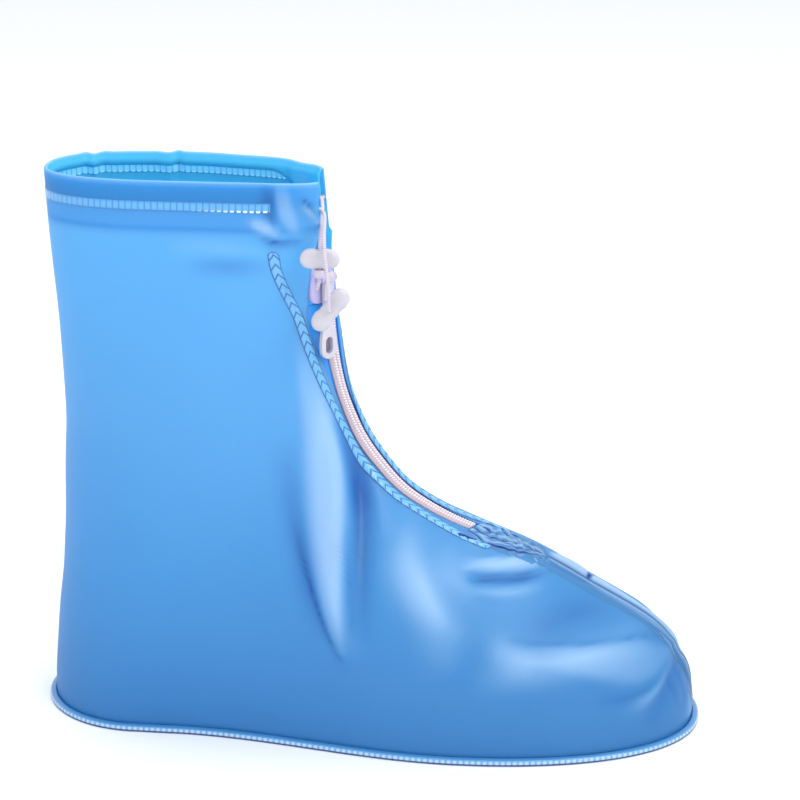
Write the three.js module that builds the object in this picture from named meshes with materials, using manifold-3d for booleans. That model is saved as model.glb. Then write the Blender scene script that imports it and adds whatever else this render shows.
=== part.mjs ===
import * as THREE from 'three';
import Module from 'manifold-3d';
import { mergeVertices } from 'three/addons/utils/BufferGeometryUtils.js';

// A waterproof film shoe cover: millimetres, toe towards +X, +Z up, sole on the floor.
// The side with the zip is the one towards -Y.

// Overall size
const coverLength = 300;
const coverWidth = 118;
const coverHeight = 249;

// Film, sole and the gaps that touching pieces and layers of film keep
const filmWall = 1.0;
const soleThickness = 1.2;
const gap = 0.3;
const layerGap = 0.45;

// Welded edge round the sole
const flangeWidth = 1.4;
const edgeWeldWidth = 1.3;

// Zip
const coilWidth = 5.5;
const coilProud = 0.5;
const coilDepth = 1.7;
const tapeThickness = 0.8;
const tapeGap = 0.6;
const tapeUnderFilm = 3.8;
const zipBottomLevel = 0.335;
const seamStartLevel = 0.03;

// Welded bands
const bandThickness = 0.7;
const chevronBandWidth = 4.6;
const chevronTopDepth = 30;
const seamWidth = 1.6;
const seamProud = 1.2;
const ladderWidth = 4;
const ladderDepth = 10.5;
const ladderFrontGap = 19;

// Hem that is folded inwards over the drawcord
const hemDepth = 22;
const hemTunnel = 2.9;
const hemTunnelDepth = 8;
const hemFrontDepth = 15;
const hemStepAbove = 1.5;
const hemStepBelow = 2;

// Slider, with its pull hung on a pin between two ears. Its middle is set from the zip line at
// sliderLevel: sunk behind the film and moved aside, as seen from the way that it faces.
const sliderWidth = 14;
const sliderHeight = 15.5;
const sliderThickness = 6.4;
const sliderFacing = -40;
const sliderLevel = 0.80325;
const sliderSink = 1.78;
const sliderAside = 4.5;
const pinDiameter = 1.6;
const pinRise = 4.2;
const earThickness = 1.6;
const earWall = 1;
const earFlare = 1;
const earSink = 0.6;
const pullWidth = 8.6;
const pullLength = 36;
const pullThickness = 1.8;
const pullStemWidth = 4.4;
const pullLoopLength = 15;
const pullSlotWidth = 4;
const pullSlotLength = 7.5;
const pullWall = 1.2;
const runningGap = 0.35;

// Bow shaped cord toggles and the knot under the upper one
const toggleThickness = 5;
const toggleBevel = 1.2;
const toggleHole = 2.4;
const toggleLobe = 8.6;
const toggleWaist = 5.4;
const upperToggleSpan = 17.6;
const upperToggleTurn = 0;
const lowerToggleSpan = 21.6;
const lowerToggleTurn = 52;
const knotDiameter = 5.4;
const knotHeight = 3.6;

// Drawcord, chosen by hand: x, y, z. Its two tails leave the lower front corners of the hem.
const cordDiameter = 1.6;
const cordSink = 4.4;
const cordExitSink = 12.5;
const nearTailRoute = [
  [-19.55, -22.0, 236.88], [-18.6, -20.95, 236.7], [-17.2, -20.7, 236.0], [-15.9, -22.0, 234.8],
  [-15.3, -24.6, 233.4], [-15.0, -27.6, 231.6], [-14.7, -31.0, 229.2], [-14.3, -34.2, 225.8],
  [-13.8, -36.4, 221.4], [-13.1, -37.9, 216.6], [-12.4, -38.8, 211.6], [-12.0, -39.2, 206.8],
  [-11.9, -39.2, 202.0], [-11.95, -38.8, 198.6], [-12.0, -37.4, 197.0], [-12.0, -35.4, 196.6],
  [-12.0, -33.4, 196.6],
];
const farTailRoute = [
  [-20.55, 0.86, 236.32], [-19.95, -0.9, 236.2], [-19.3, -3.4, 235.6], [-18.7, -7.0, 234.4],
  [-18.2, -11.0, 233.0], [-17.7, -14.8, 231.6], [-17.4, -18.6, 230.2], [-17.1, -22.4, 228.8],
  [-16.9, -26.2, 226.8], [-16.7, -29.2, 224.0], [-16.7, -30.4, 220.6], [-16.7, -30.4, 217.6],
  [-16.8, -30.4, 211.3], [-17.3, -30.3, 207.6], [-18.2, -30.2, 204.0],
];
const upperTogglePlace = farTailRoute[11];
const knotPlace = farTailRoute[12];
const lowerTogglePlace = nearTailRoute.at(-1);

const halfLength = coverLength / 2 - flangeWidth - gap - edgeWeldWidth;
const halfWidth = coverWidth / 2 - flangeWidth - gap - edgeWeldWidth;
const baseHeight = soleThickness + gap + filmWall;
const shellTop = coverHeight - filmWall - gap;

// Sections of the upper from the sole to the rim. level and frontZ are shares of the height,
// frontX, heelX and nearReach of the half length, heelHalf and frontHalf of the half width,
// heelCap, nearCap and farCap of the section's own length. A power of 2 rounds an end as an
// ellipse, less draws it to an edge and more squares it. zipShift, nearGap, farGap and
// bandShift are distances across from the middle or from the zip, shares of the half width.
const sectionColumns = ['level', 'frontX', 'frontZ', 'heelX', 'nearReach', 'heelHalf', 'frontHalf',
  'heelCap', 'nearCap', 'farCap', 'heelPower', 'nearPower', 'farPower',
  'zipShift', 'nearGap', 'farGap', 'bandShift'];
const sectionRows = [
  [0, 1, 0, -1, 0, 0.72, 1, 0.15, 0.37, 0.37, 2, 2.2, 2.2, 0, 0.06, 0.06, 0],
  [0.045, 0.997, 0.04, -0.997, 0, 0.73, 1, 0.15, 0.37, 0.37, 2, 2.2, 2.2, 0, 0.06, 0.06, 0],
  [0.112, 0.963, 0.108, -0.986, 0, 0.75, 0.98, 0.16, 0.38, 0.38, 2, 2.1, 2.1, 0.015, 0.06, 0.06, 0],
  [0.182, 0.871, 0.181, -0.973, 0, 0.77, 0.92, 0.18, 0.42, 0.42, 2, 2, 2, 0.035, 0.06, 0.06, 0],
  [0.252, 0.677, 0.256, -0.956, 0, 0.78, 0.85, 0.21, 0.5, 0.5, 2, 1.9, 1.9, 0.055, 0.06, 0.06, 0],
  [0.298, 0.544, 0.303, -0.949, 0, 0.78, 0.81, 0.24, 0.54, 0.54, 2, 1.85, 1.85, 0.075, 0.06, 0.06, 0.2],
  [0.338, 0.388, 0.343, -0.943, 0, 0.78, 0.78, 0.27, 0.58, 0.58, 2, 1.8, 1.8, 0.095, 0.06, 0.075, 0.17],
  [0.378, 0.252, 0.379, -0.939, 0, 0.77, 0.76, 0.3, 0.6, 0.6, 2, 1.75, 1.75, 0.108, 0.06, 0.075, 0.12],
  [0.424, 0.136, 0.424, -0.936, 0, 0.76, 0.75, 0.34, 0.58, 0.58, 2, 1.65, 1.65, 0.116, 0.06, 0.075, 0.102],
  [0.48, 0.052, 0.48, -0.931, 0, 0.75, 0.74, 0.38, 0.55, 0.55, 2, 1.58, 1.58, 0.116, 0.06, 0.075, 0.1],
  [0.54, -0.01, 0.54, -0.924, 0, 0.73, 0.73, 0.41, 0.5, 0.5, 2, 1.53, 1.53, 0.116, 0.06, 0.075, 0.1],
  [0.621, -0.061, 0.621, -0.925, 0, 0.7, 0.71, 0.44, 0.5, 0.5, 2, 1.53, 1.53, 0.116, 0.075, 0.075, 0.14],
  [0.738, -0.088, 0.738, -0.93, 0, 0.64, 0.66, 0.45, 0.5, 0.5, 2.1, 1.53, 1.53, 0.116, 0.16, 0.08, 0.2],
  [0.85, -0.107, 0.85, -0.941, 0, 0.59, 0.6, 0.44, 0.45, 0.5, 2.2, 2.2, 1.7, 0.116, 0.19, 0.09, 0.36],
  [0.92, -0.119, 0.92, -0.946, 0.017, 0.56, 0.56, 0.43, 0.3, 0.5, 2.3, 3.6, 1.75, 0.116, 0.275, 0.13, 0.4],
  [1, -0.129, 1, -0.949, 0.037, 0.53, 0.54, 0.42, 0.2, 0.5, 2.4, 4.5, 1.8, 0.116, 0.35, 0.17, 0.4],
];

// Folds of the film. A fold runs from one place to another as seen from the side: x as a share
// of the half length and z of the height, bow its sag, width and rise in shares of the half
// width. A rise below zero is a dent. side is -1 for the zip side, 1 for the other, 0 for both.
const foldColumns = ['side', 'fromX', 'fromZ', 'toX', 'toZ', 'bow', 'width', 'rise'];
const foldRows = [
  [-1, -0.130, 0.680, -0.037, 0.170, 0.020, 0.125, 0.080],
  [-1, -0.015, 0.640, 0.020, 0.200, 0.010, 0.075, -0.062],
  [-1, -0.235, 0.560, -0.110, 0.200, 0.020, 0.090, -0.036],
  [-1, 0.120, 0.370, 0.285, 0.160, -0.010, 0.150, 0.050],
  [-1, 0.300, 0.345, 0.560, 0.325, -0.030, 0.055, 0.048],
  [-1, 0.300, 0.310, 0.560, 0.290, -0.040, 0.060, -0.040],
  [-1, 0.930, 0.190, 0.330, 0.150, 0.010, 0.110, 0.055],
  [-1, 0.900, 0.250, 0.450, 0.225, 0.020, 0.090, -0.036],
  [0, 0.965, 0.150, 0.860, 0.040, 0.010, 0.070, -0.030],
  [-1, -0.560, 0.895, -0.250, 0.880, -0.010, 0.060, 0.030],
  [-1, -0.500, 0.862, -0.250, 0.855, -0.010, 0.070, -0.030],
  [1, -0.200, 0.620, -0.110, 0.160, 0.020, 0.140, 0.050],
  [1, 0.200, 0.300, 0.300, 0.100, 0.010, 0.150, 0.035],
  [1, 0.900, 0.180, 0.380, 0.130, 0.010, 0.120, 0.045],
];

function asObject(names, row) {
  return Object.fromEntries(names.map((name, index) => [name, row[index]]));
}
const sections = sectionRows.map((row) => asObject(sectionColumns, row));
const folds = foldRows.map((row) => asObject(foldColumns, row));

// One column of the section table at any level: a smooth cubic through its rows.
function slopeAt(name, index) {
  const before = sections[Math.max(index - 1, 0)];
  const after = sections[Math.min(index + 1, sections.length - 1)];
  return (after[name] - before[name]) / (after.level - before.level);
}
function sectionValue(name, level) {
  const last = sections.length - 2;
  const found = sections.findIndex((row) => row.level > level) - 1;
  const index = found < 0 ? last : Math.min(found, last);
  const low = sections[index];
  const high = sections[index + 1];
  const span = high.level - low.level;
  const t = (level - low.level) / span;
  const ease = t * t * (3 - 2 * t);
  const leave = t * (1 - t) * (1 - t) * span * slopeAt(name, index);
  const arrive = t * t * (t - 1) * span * slopeAt(name, index + 1);
  return low[name] * (1 - ease) + high[name] * ease + leave + arrive;
}
function sectionAt(level) {
  return Object.fromEntries(sectionColumns.map((name) => [name, sectionValue(name, level)]));
}

// Half width at a share of the way from the heel (0) to the front (1) of a section.
function bodyHalf(section, share) {
  const t = THREE.MathUtils.clamp((share - 0.22) / 0.42, 0, 1);
  const ease = t * t * (3 - 2 * t);
  return halfWidth * (section.heelHalf + (section.frontHalf - section.heelHalf) * ease);
}
function endRound(share, cap, power) {
  const along = THREE.MathUtils.clamp((share - 1 + cap) / cap, 0, 1);
  return Math.pow(Math.max(1 - Math.pow(along, power), 0), 1 / power);
}

// A point of the smooth upper. turn is 0 at the front edge and runs to pi at the heel,
// below zero on the zip side.
function smoothPoint(turn, section) {
  const near = Math.sin(turn) < 0;
  const share = (1 + Math.cos(turn)) / 2;
  const front = section.frontX + (near ? section.nearReach : 0);
  const cap = near ? section.nearCap : section.farCap;
  const power = near ? section.nearPower : section.farPower;
  const across = bodyHalf(section, share) * endRound(share, cap, power)
    * endRound(1 - share, section.heelCap, section.heelPower);
  const rise = section.level + (section.frontZ - section.level) * share;
  return new THREE.Vector3(
    halfLength * (section.heelX + (front - section.heelX) * share),
    near ? -across : across,
    baseHeight + (coverHeight - baseHeight) * rise,
  );
}

// The turn at which a section is a given distance across from its middle, near the front.
function turnAt(across, section) {
  const near = across < 0;
  const cap = near ? section.nearCap : section.farCap;
  const power = near ? section.nearPower : section.farPower;
  const part = Math.min(Math.abs(across) / (halfWidth * section.frontHalf), 0.999);
  const along = Math.pow(1 - Math.pow(part, power), 1 / power);
  const turn = Math.acos(2 * (1 - cap + cap * along) - 1);
  return near ? -turn : turn;
}

// How far the folds lift the film at a place of the smooth upper.
function foldLift(place) {
  const side = place.y < 0 ? -1 : 1;
  const offMiddle = THREE.MathUtils.smoothstep(Math.abs(place.y), 0.12 * halfWidth, 0.4 * halfWidth);
  return folds.reduce((sum, fold) => {
    if (fold.side !== 0 && fold.side !== side) {
      return sum;
    }
    const fromX = fold.fromX * halfLength;
    const fromZ = fold.fromZ * coverHeight;
    const runX = fold.toX * halfLength - fromX;
    const runZ = fold.toZ * coverHeight - fromZ;
    const run = Math.hypot(runX, runZ);
    const along = ((place.x - fromX) * runX + (place.z - fromZ) * runZ) / (run * run);
    if (along <= 0 || along >= 1) {
      return sum;
    }
    const beside = ((place.x - fromX) * runZ - (place.z - fromZ) * runX) / run;
    const sag = fold.bow * halfWidth * 4 * along * (1 - along);
    const away = (beside - sag) / (fold.width * halfWidth);
    const fade = Math.sin(Math.PI * along) * (fold.side === 0 ? 1 : offMiddle);
    return sum + fold.rise * halfWidth * fade * Math.exp(-away * away);
  }, 0);
}

// A point of the film, sunk a given depth below its outer face. smallStep is the step of turn or
// level that slopes are measured over.
const smallStep = 0.004;
function filmPoint(turn, level, depth) {
  const low = Math.max(level - smallStep, 0);
  const high = Math.min(level + smallStep, 1);
  const section = sectionAt(level);
  const place = smoothPoint(turn, section);
  const round = smoothPoint(turn + smallStep, section).sub(smoothPoint(turn - smallStep, section));
  const up = smoothPoint(turn, sectionAt(high)).sub(smoothPoint(turn, sectionAt(low)));
  const outward = round.cross(up).normalize();
  return place.addScaledVector(outward, foldLift(place) - depth);
}

function levelOfHeight(height) {
  return (height - baseHeight) / (coverHeight - baseHeight);
}
function zipTurn(level, across) {
  const section = sectionAt(level);
  return turnAt(-section.zipShift * halfWidth + across, section);
}

// A closed slab between two grids of points, [row][column]. Where a row's first and last
// columns are one place, the grid closes on itself there and has no side face.
function slab(outer, inner) {
  const rows = outer.length;
  const columns = outer[0].length;
  const places = [];
  for (const grid of [outer, inner]) {
    for (const row of grid) {
      for (const point of row) {
        places.push(point.x, point.y, point.z);
      }
    }
  }
  const at = (layer, row, column) => (layer * rows + row) * columns + column;
  const faces = [];
  const quad = (a, b, c, d) => faces.push(a, b, c, a, c, d);
  for (let row = 0; row < rows - 1; row += 1) {
    for (let column = 0; column < columns - 1; column += 1) {
      quad(at(0, row, column), at(0, row, column + 1), at(0, row + 1, column + 1), at(0, row + 1, column));
      quad(at(1, row, column), at(1, row + 1, column), at(1, row + 1, column + 1), at(1, row, column + 1));
    }
    const closedHere = outer[row][0].distanceTo(outer[row][columns - 1]) < 1e-4;
    const closedNext = outer[row + 1][0].distanceTo(outer[row + 1][columns - 1]) < 1e-4;
    if (!(closedHere && closedNext)) {
      quad(at(0, row, 0), at(0, row + 1, 0), at(1, row + 1, 0), at(1, row, 0));
      const end = columns - 1;
      quad(at(0, row, end), at(1, row, end), at(1, row + 1, end), at(0, row + 1, end));
    }
  }
  for (let column = 0; column < columns - 1; column += 1) {
    const top = rows - 1;
    quad(at(0, 0, column), at(1, 0, column), at(1, 0, column + 1), at(0, 0, column + 1));
    quad(at(0, top, column), at(0, top, column + 1), at(1, top, column + 1), at(1, top, column));
  }
  const geometry = new THREE.BufferGeometry();
  geometry.setAttribute('position', new THREE.Float32BufferAttribute(places, 3));
  geometry.setIndex(faces);
  return dropFlatFaces(mergeVertices(geometry, 1e-4));
}
function dropFlatFaces(geometry) {
  const index = Array.from(geometry.index.array);
  const kept = [];
  for (let face = 0; face < index.length; face += 3) {
    const [a, b, c] = index.slice(face, face + 3);
    if (a !== b && b !== c && c !== a) {
      kept.push(a, b, c);
    }
  }
  geometry.setIndex(kept);
  return geometry;
}

function spread(count, from, to, bend = 1) {
  const share = (index) => Math.pow(index / (count - 1), bend);
  return Array.from({ length: count }, (_, index) => from + (to - from) * share(index));
}

// Rows of the upper. The slit for the zip opens above zipBottomLevel.
const footRows = 12;
const legRows = 13;
const slitStart = 0.012;
const slitReach = 4;
const topLevel = levelOfHeight(shellTop);
const footLevels = spread(footRows, 0, zipBottomLevel, 0.9);
const hemDrops = [hemDepth, hemFrontDepth + hemStepBelow, hemTunnelDepth + hemStepBelow];
const hemLevels = hemDrops.map((drop) => levelOfHeight(coverHeight - drop));
const legLevels = spread(legRows, zipBottomLevel + slitStart, hemLevels[0], 1.15);
const filmLevels = [...footLevels, ...legLevels, ...hemLevels.slice(1), topLevel];
const filmColumns = 50;
const midsideCrowding = 0.25;

// Turns of the columns at a level. Only those near the front step aside for the slit.
function turnsRound(level) {
  const section = sectionAt(level);
  const open = level > zipBottomLevel + slitStart / 2 ? halfWidth : 0;
  const middle = zipTurn(level, 0);
  const farAside = zipTurn(level, section.farGap * open) - middle;
  const nearAside = zipTurn(level, -section.nearGap * open) - middle;
  return spread(filmColumns + 1, 0, 1).map((part) => {
    const eased = part + midsideCrowding * Math.sin(4 * Math.PI * part) / (4 * Math.PI);
    const farFade = Math.max(1 - slitReach * part, 0);
    const nearFade = Math.max(1 - slitReach * (1 - part), 0);
    return middle + 2 * Math.PI * eased + farAside * farFade * farFade + nearAside * nearFade * nearFade;
  });
}

// A point of the outline on the floor, moved out by a distance and set to a height.
function footprintPoint(turn, out, height) {
  const section = sectionAt(0);
  const ahead = smoothPoint(turn + smallStep, section);
  const along = ahead.sub(smoothPoint(turn - smallStep, section)).normalize();
  const place = smoothPoint(turn, section);
  return new THREE.Vector3(place.x + along.y * out, place.y - along.x * out, height);
}

function upperShell() {
  const outer = filmLevels.map((level) => turnsRound(level).map((turn) => filmPoint(turn, level, 0)));
  const inner = filmLevels.map((level) => turnsRound(level).map((turn) => filmPoint(turn, level, filmWall)));
  const ring = turnsRound(0);
  const filmFoot = soleThickness + gap;
  outer[0] = ring.map((turn) => footprintPoint(turn, 0, baseHeight));
  inner[0] = ring.map((turn) => footprintPoint(turn, -filmWall, filmFoot));
  outer.unshift(ring.map((turn) => footprintPoint(turn, flangeWidth, baseHeight)));
  inner.unshift(ring.map((turn) => footprintPoint(turn, flangeWidth, filmFoot)));
  return slab(outer, inner);
}

function footprint(out) {
  return turnsRound(0).slice(0, -1).map((turn) => {
    const place = footprintPoint(turn, out, 0);
    return new THREE.Vector2(place.x, place.y);
  });
}
function sole() {
  const outline = new THREE.Shape(footprint(flangeWidth));
  return new THREE.ExtrudeGeometry(outline, { depth: soleThickness, bevelEnabled: false });
}
function soleEdgeWeld() {
  const outline = new THREE.Shape(footprint(flangeWidth + gap + edgeWeldWidth));
  outline.holes.push(new THREE.Path(footprint(flangeWidth + gap)));
  return new THREE.ExtrudeGeometry(outline, { depth: baseHeight, bevelEnabled: false });
}

// A strip that follows the film: levels, the distances across from the zip at each level, and
// how deep its two faces lie below the film's outer face.
function filmStrip(levels, acrossAt, topDepth, bottomDepth) {
  const place = (level, across, depth) => filmPoint(zipTurn(level, across), level, depth);
  const row = (level, depth) => acrossAt(level).map((across) => place(level, across, depth));
  const layer = (depth) => levels.map((level) => row(level, depth));
  return slab(layer(topDepth), layer(bottomDepth));
}
function levelsBetween(from, to) {
  return [from, ...filmLevels.filter((level) => level > from + smallStep && level < to - smallStep), to];
}
function sliderPlace() {
  const facing = THREE.MathUtils.degToRad(sliderFacing);
  const out = new THREE.Vector3(Math.cos(facing), Math.sin(facing), 0);
  const aside = new THREE.Vector3(Math.sin(facing), -Math.cos(facing), 0);
  const onZip = smoothPoint(zipTurn(sliderLevel, 0), sectionAt(sliderLevel));
  return onZip.addScaledVector(out, -sliderSink).addScaledVector(aside, sliderAside);
}
const sliderCentre = sliderPlace();
const zipTopLevel = levelOfHeight(sliderCentre.z - sliderHeight / 2 - gap);
const zipLevels = levelsBetween(zipBottomLevel + slitStart * 1.6, zipTopLevel);

function zipCoil() {
  const half = coilWidth / 2;
  return filmStrip(zipLevels, () => [-half, 0, half], -coilProud, coilDepth);
}
function zipTape(side) {
  const inside = coilWidth / 2 + gap;
  const acrossAt = (level) => {
    const section = sectionAt(level);
    const outside = (side < 0 ? section.nearGap : section.farGap) * halfWidth + tapeUnderFilm;
    const across = [inside, (inside + outside) / 2, outside];
    return side < 0 ? across.map((distance) => -distance).reverse() : across;
  };
  return filmStrip(zipLevels, acrossAt, filmWall + tapeGap, filmWall + tapeGap + tapeThickness);
}
const bandLevels = levelsBetween(zipBottomLevel - slitStart, levelOfHeight(coverHeight - chevronTopDepth));
function chevronBand(side) {
  const acrossAt = (level) => {
    const section = sectionAt(level);
    const middle = side * section.bandShift * halfWidth;
    const turn = zipTurn(level, middle);
    const step = smoothPoint(turn + smallStep, section).sub(smoothPoint(turn - smallStep, section));
    const half = (chevronBandWidth / 2) * (Math.abs(step.y) / step.length());
    return [middle - half, middle, middle + half];
  };
  return filmStrip(bandLevels, acrossAt, -layerGap - bandThickness, -layerGap);
}
const seamLevels = levelsBetween(seamStartLevel, zipBottomLevel - slitStart * 2);
function toeSeam() {
  return filmStrip(seamLevels, () => [-seamWidth / 2, seamWidth / 2], -layerGap - seamProud, -layerGap);
}

// How far a place of the rim lies behind the hem's front edge, as an eased share from 0 to 1.
function behindFront(turn, level) {
  const section = sectionAt(level);
  const front = section.frontX + (Math.sin(turn) < 0 ? section.nearReach : 0);
  const distance = halfLength * front - smoothPoint(turn, section).x;
  return THREE.MathUtils.smoothstep(distance, ladderFrontGap * 0.3, ladderFrontGap * 1.4);
}
function ladderWeld() {
  const middle = coverHeight - ladderDepth;
  const levels = [middle - ladderWidth / 2, middle + ladderWidth / 2].map(levelOfHeight);
  const front = halfLength * sectionAt(levels[0]).frontX - ladderFrontGap;
  const behind = turnsRound(levels[0]).map((turn) => smoothPoint(turn, sectionAt(levels[0])).x < front);
  const row = (level, depth) => turnsRound(level).filter((_, column) => behind[column])
    .map((turn) => filmPoint(turn, level, depth));
  const layer = (depth) => levels.map((level) => row(level, depth));
  return slab(layer(-layerGap - bandThickness), layer(-layerGap));
}
function hem() {
  const seat = filmWall + layerGap;
  const tunnel = filmWall + hemTunnel;
  // Outer face and inner face of each bend: depth below the film's face, drop below the rim.
  const bends = (toFront) => {
    const pocket = hemTunnelDepth + (hemFrontDepth - hemTunnelDepth) * toFront;
    return [
      [seat, hemDepth, seat + filmWall, hemDepth],
      [seat, pocket + hemStepBelow, seat + filmWall, pocket + hemStepBelow],
      [tunnel, pocket - hemStepAbove, tunnel + filmWall, pocket - hemStepAbove],
      [tunnel, filmWall * 2, tunnel + filmWall, filmWall * 1.3],
      [tunnel - filmWall, filmWall, tunnel, filmWall * 0.2],
      [0, filmWall, filmWall * 0.2, 0],
    ];
  };
  const face = (bend, inside) => turnsRound(1).map((rimTurn, column) => {
    const [outDepth, outDrop, inDepth, inDrop] = bends(1 - behindFront(rimTurn, 1))[bend];
    const level = levelOfHeight(coverHeight - (inside ? inDrop : outDrop));
    return filmPoint(turnsRound(level)[column], level, inside ? inDepth : outDepth);
  });
  const faces = (inside) => bends(0).map((_, bend) => face(bend, inside));
  return slab(faces(false), faces(true));
}

// Cords: a round section carried along a smooth curve through the chosen points.
function cordTube(places) {
  const curve = new THREE.CatmullRomCurve3(places);
  const section = new THREE.Shape().absarc(0, 0, cordDiameter / 2, 0, 2 * Math.PI);
  const steps = Math.round(curve.getLength() / (2.6 * cordDiameter));
  return new THREE.ExtrudeGeometry(section, { extrudePath: curve, steps, curveSegments: 4 });
}
function tunnelRoute() {
  const depth = filmWall + hemTunnel / 2;
  const rimTurns = turnsRound(1);
  return rimTurns.map((rimTurn, column) => {
    const toFront = 1 - behindFront(rimTurn, 1);
    const level = levelOfHeight(coverHeight - cordSink - (cordExitSink - cordSink) * toFront);
    return filmPoint(turnsRound(level)[column], level, depth);
  });
}

const wasm = await Module();
wasm.setup();
function toSolid(source) {
  const geometry = source.clone();
  geometry.deleteAttribute('normal');
  geometry.deleteAttribute('uv');
  const merged = mergeVertices(geometry, 1e-4);
  return new wasm.Manifold(new wasm.Mesh({
    numProp: 3,
    vertProperties: new Float32Array(merged.attributes.position.array),
    triVerts: new Uint32Array(merged.index.array),
  }));
}
function toGeometry(solid) {
  const mesh = solid.getMesh();
  const geometry = new THREE.BufferGeometry();
  geometry.setAttribute('position', new THREE.Float32BufferAttribute(mesh.vertProperties, 3));
  geometry.setIndex(Array.from(mesh.triVerts));
  return geometry;
}
// A shape drawn across and up, given its thickness from back to front.
function plate(shape, thickness, bevel, basis) {
  const depth = thickness - 2 * bevel;
  const rounding = { bevelEnabled: bevel > 0, bevelThickness: bevel, bevelSize: bevel, bevelOffset: -bevel };
  const steps = { bevelSegments: 2, curveSegments: 5 };
  const geometry = new THREE.ExtrudeGeometry(shape, { depth, ...rounding, ...steps });
  geometry.translate(0, 0, -depth / 2);
  return geometry.applyMatrix4(basis);
}
const axisX = new THREE.Vector3(1, 0, 0);
const axisY = new THREE.Vector3(0, 1, 0);
const axisZ = new THREE.Vector3(0, 0, 1);
const facingFront = new THREE.Matrix4().makeBasis(axisY, axisZ, axisX);
const facingSide = new THREE.Matrix4().makeBasis(axisX, axisZ, axisY.clone().negate());

// Slider and pull are drawn with +X out of the slider's face, Y across it and +Z up.
const barrelRadius = pinDiameter / 2 + runningGap + pullWall;
const pinReach = sliderThickness / 2 + runningGap + barrelRadius;
const earInside = pullStemWidth / 2 + runningGap;

function sliderBody() {
  const half = sliderWidth / 2;
  const low = half * 0.75;
  const high = half * 0.95;
  const outline = new THREE.Shape();
  outline.moveTo(-half, -sliderHeight / 2 + low);
  outline.quadraticCurveTo(-half, -sliderHeight / 2, -half + low, -sliderHeight / 2);
  outline.lineTo(half - low, -sliderHeight / 2);
  outline.quadraticCurveTo(half, -sliderHeight / 2, half, -sliderHeight / 2 + low);
  outline.lineTo(half, sliderHeight / 2 - high);
  outline.quadraticCurveTo(half, sliderHeight / 2, half - high, sliderHeight / 2);
  outline.lineTo(-half + high, sliderHeight / 2);
  outline.quadraticCurveTo(-half, sliderHeight / 2, -half, sliderHeight / 2 - high);
  return plate(outline, sliderThickness, sliderThickness * 0.18, facingFront);
}
function slider() {
  const root = sliderThickness / 2 - earSink;
  const earRadius = pinDiameter / 2 + earWall;
  const ear = new THREE.Shape();
  ear.moveTo(root, -earRadius - earFlare);
  ear.lineTo(pinReach, -earRadius);
  ear.absarc(pinReach, 0, earRadius, -Math.PI / 2, Math.PI / 2);
  ear.lineTo(root, earRadius + earFlare);
  const earPlate = plate(ear, earThickness, 0, facingSide);
  const pin = new THREE.CylinderGeometry(pinDiameter / 2, pinDiameter / 2, 2 * earInside + earThickness, 10);
  let solid = toSolid(sliderBody());
  for (const side of [-1, 1]) {
    const placed = earPlate.clone().translate(0, side * (earInside + earThickness / 2), pinRise);
    solid = solid.add(toSolid(placed));
  }
  return toGeometry(solid.add(toSolid(pin.translate(pinReach, 0, pinRise))));
}
function pull() {
  const stem = pullStemWidth / 2;
  const wide = pullWidth / 2;
  const shoulder = -(pullLength - pullLoopLength);
  const outline = new THREE.Shape();
  outline.moveTo(-stem, 0);
  outline.lineTo(-stem, shoulder);
  outline.quadraticCurveTo(-wide, shoulder - stem, -wide, -pullLength + wide);
  outline.absarc(0, -pullLength + wide, wide, Math.PI, 2 * Math.PI);
  outline.quadraticCurveTo(wide, shoulder - stem, stem, shoulder);
  outline.lineTo(stem, 0);
  const slot = new THREE.Path();
  const slotRadius = pullSlotWidth / 2;
  const slotLow = -pullLength + wide;
  const slotHigh = slotLow + pullSlotLength - pullSlotWidth;
  slot.absarc(0, slotHigh, slotRadius, 0, Math.PI);
  slot.absarc(0, slotLow, slotRadius, Math.PI, 2 * Math.PI);
  outline.holes.push(slot);
  const tab = plate(outline, pullThickness, 0, facingFront);
  const barrel = new THREE.CylinderGeometry(barrelRadius, barrelRadius, pullStemWidth, 14);
  const bore = pinDiameter / 2 + runningGap;
  const hole = new THREE.CylinderGeometry(bore, bore, pullStemWidth * 2, 12);
  const solid = toSolid(tab).add(toSolid(barrel)).subtract(toSolid(hole));
  return toGeometry(solid).translate(pinReach, 0, pinRise);
}

function toggle(span, holeAxis) {
  const lobe = toggleLobe / 2;
  const reach = span / 2 - lobe;
  const neck = Math.asin(toggleWaist / 2 / lobe);
  const outline = new THREE.Shape();
  outline.absarc(reach, 0, lobe, -Math.PI + neck, Math.PI - neck);
  outline.absarc(-reach, 0, lobe, neck, 2 * Math.PI - neck);
  const hole = new THREE.CylinderGeometry(toggleHole / 2, toggleHole / 2, 2 * toggleLobe, 12);
  if (holeAxis === axisZ) {
    hole.rotateX(Math.PI / 2);
  }
  const bow = toSolid(plate(outline, toggleThickness, toggleBevel, facingSide));
  return toGeometry(bow.subtract(toSolid(hole)));
}
function knot() {
  const hollow = cordDiameter / 2 + gap;
  const wide = knotDiameter / 2;
  const high = knotHeight / 2;
  const profile = [[hollow, -high], [wide * 0.8, -high], [wide, -high * 0.4], [wide, high * 0.4],
    [wide * 0.8, high], [hollow, high], [hollow, -high]].map(([x, y]) => new THREE.Vector2(x, y));
  return new THREE.LatheGeometry(profile, 12).rotateX(Math.PI / 2);
}

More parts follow.
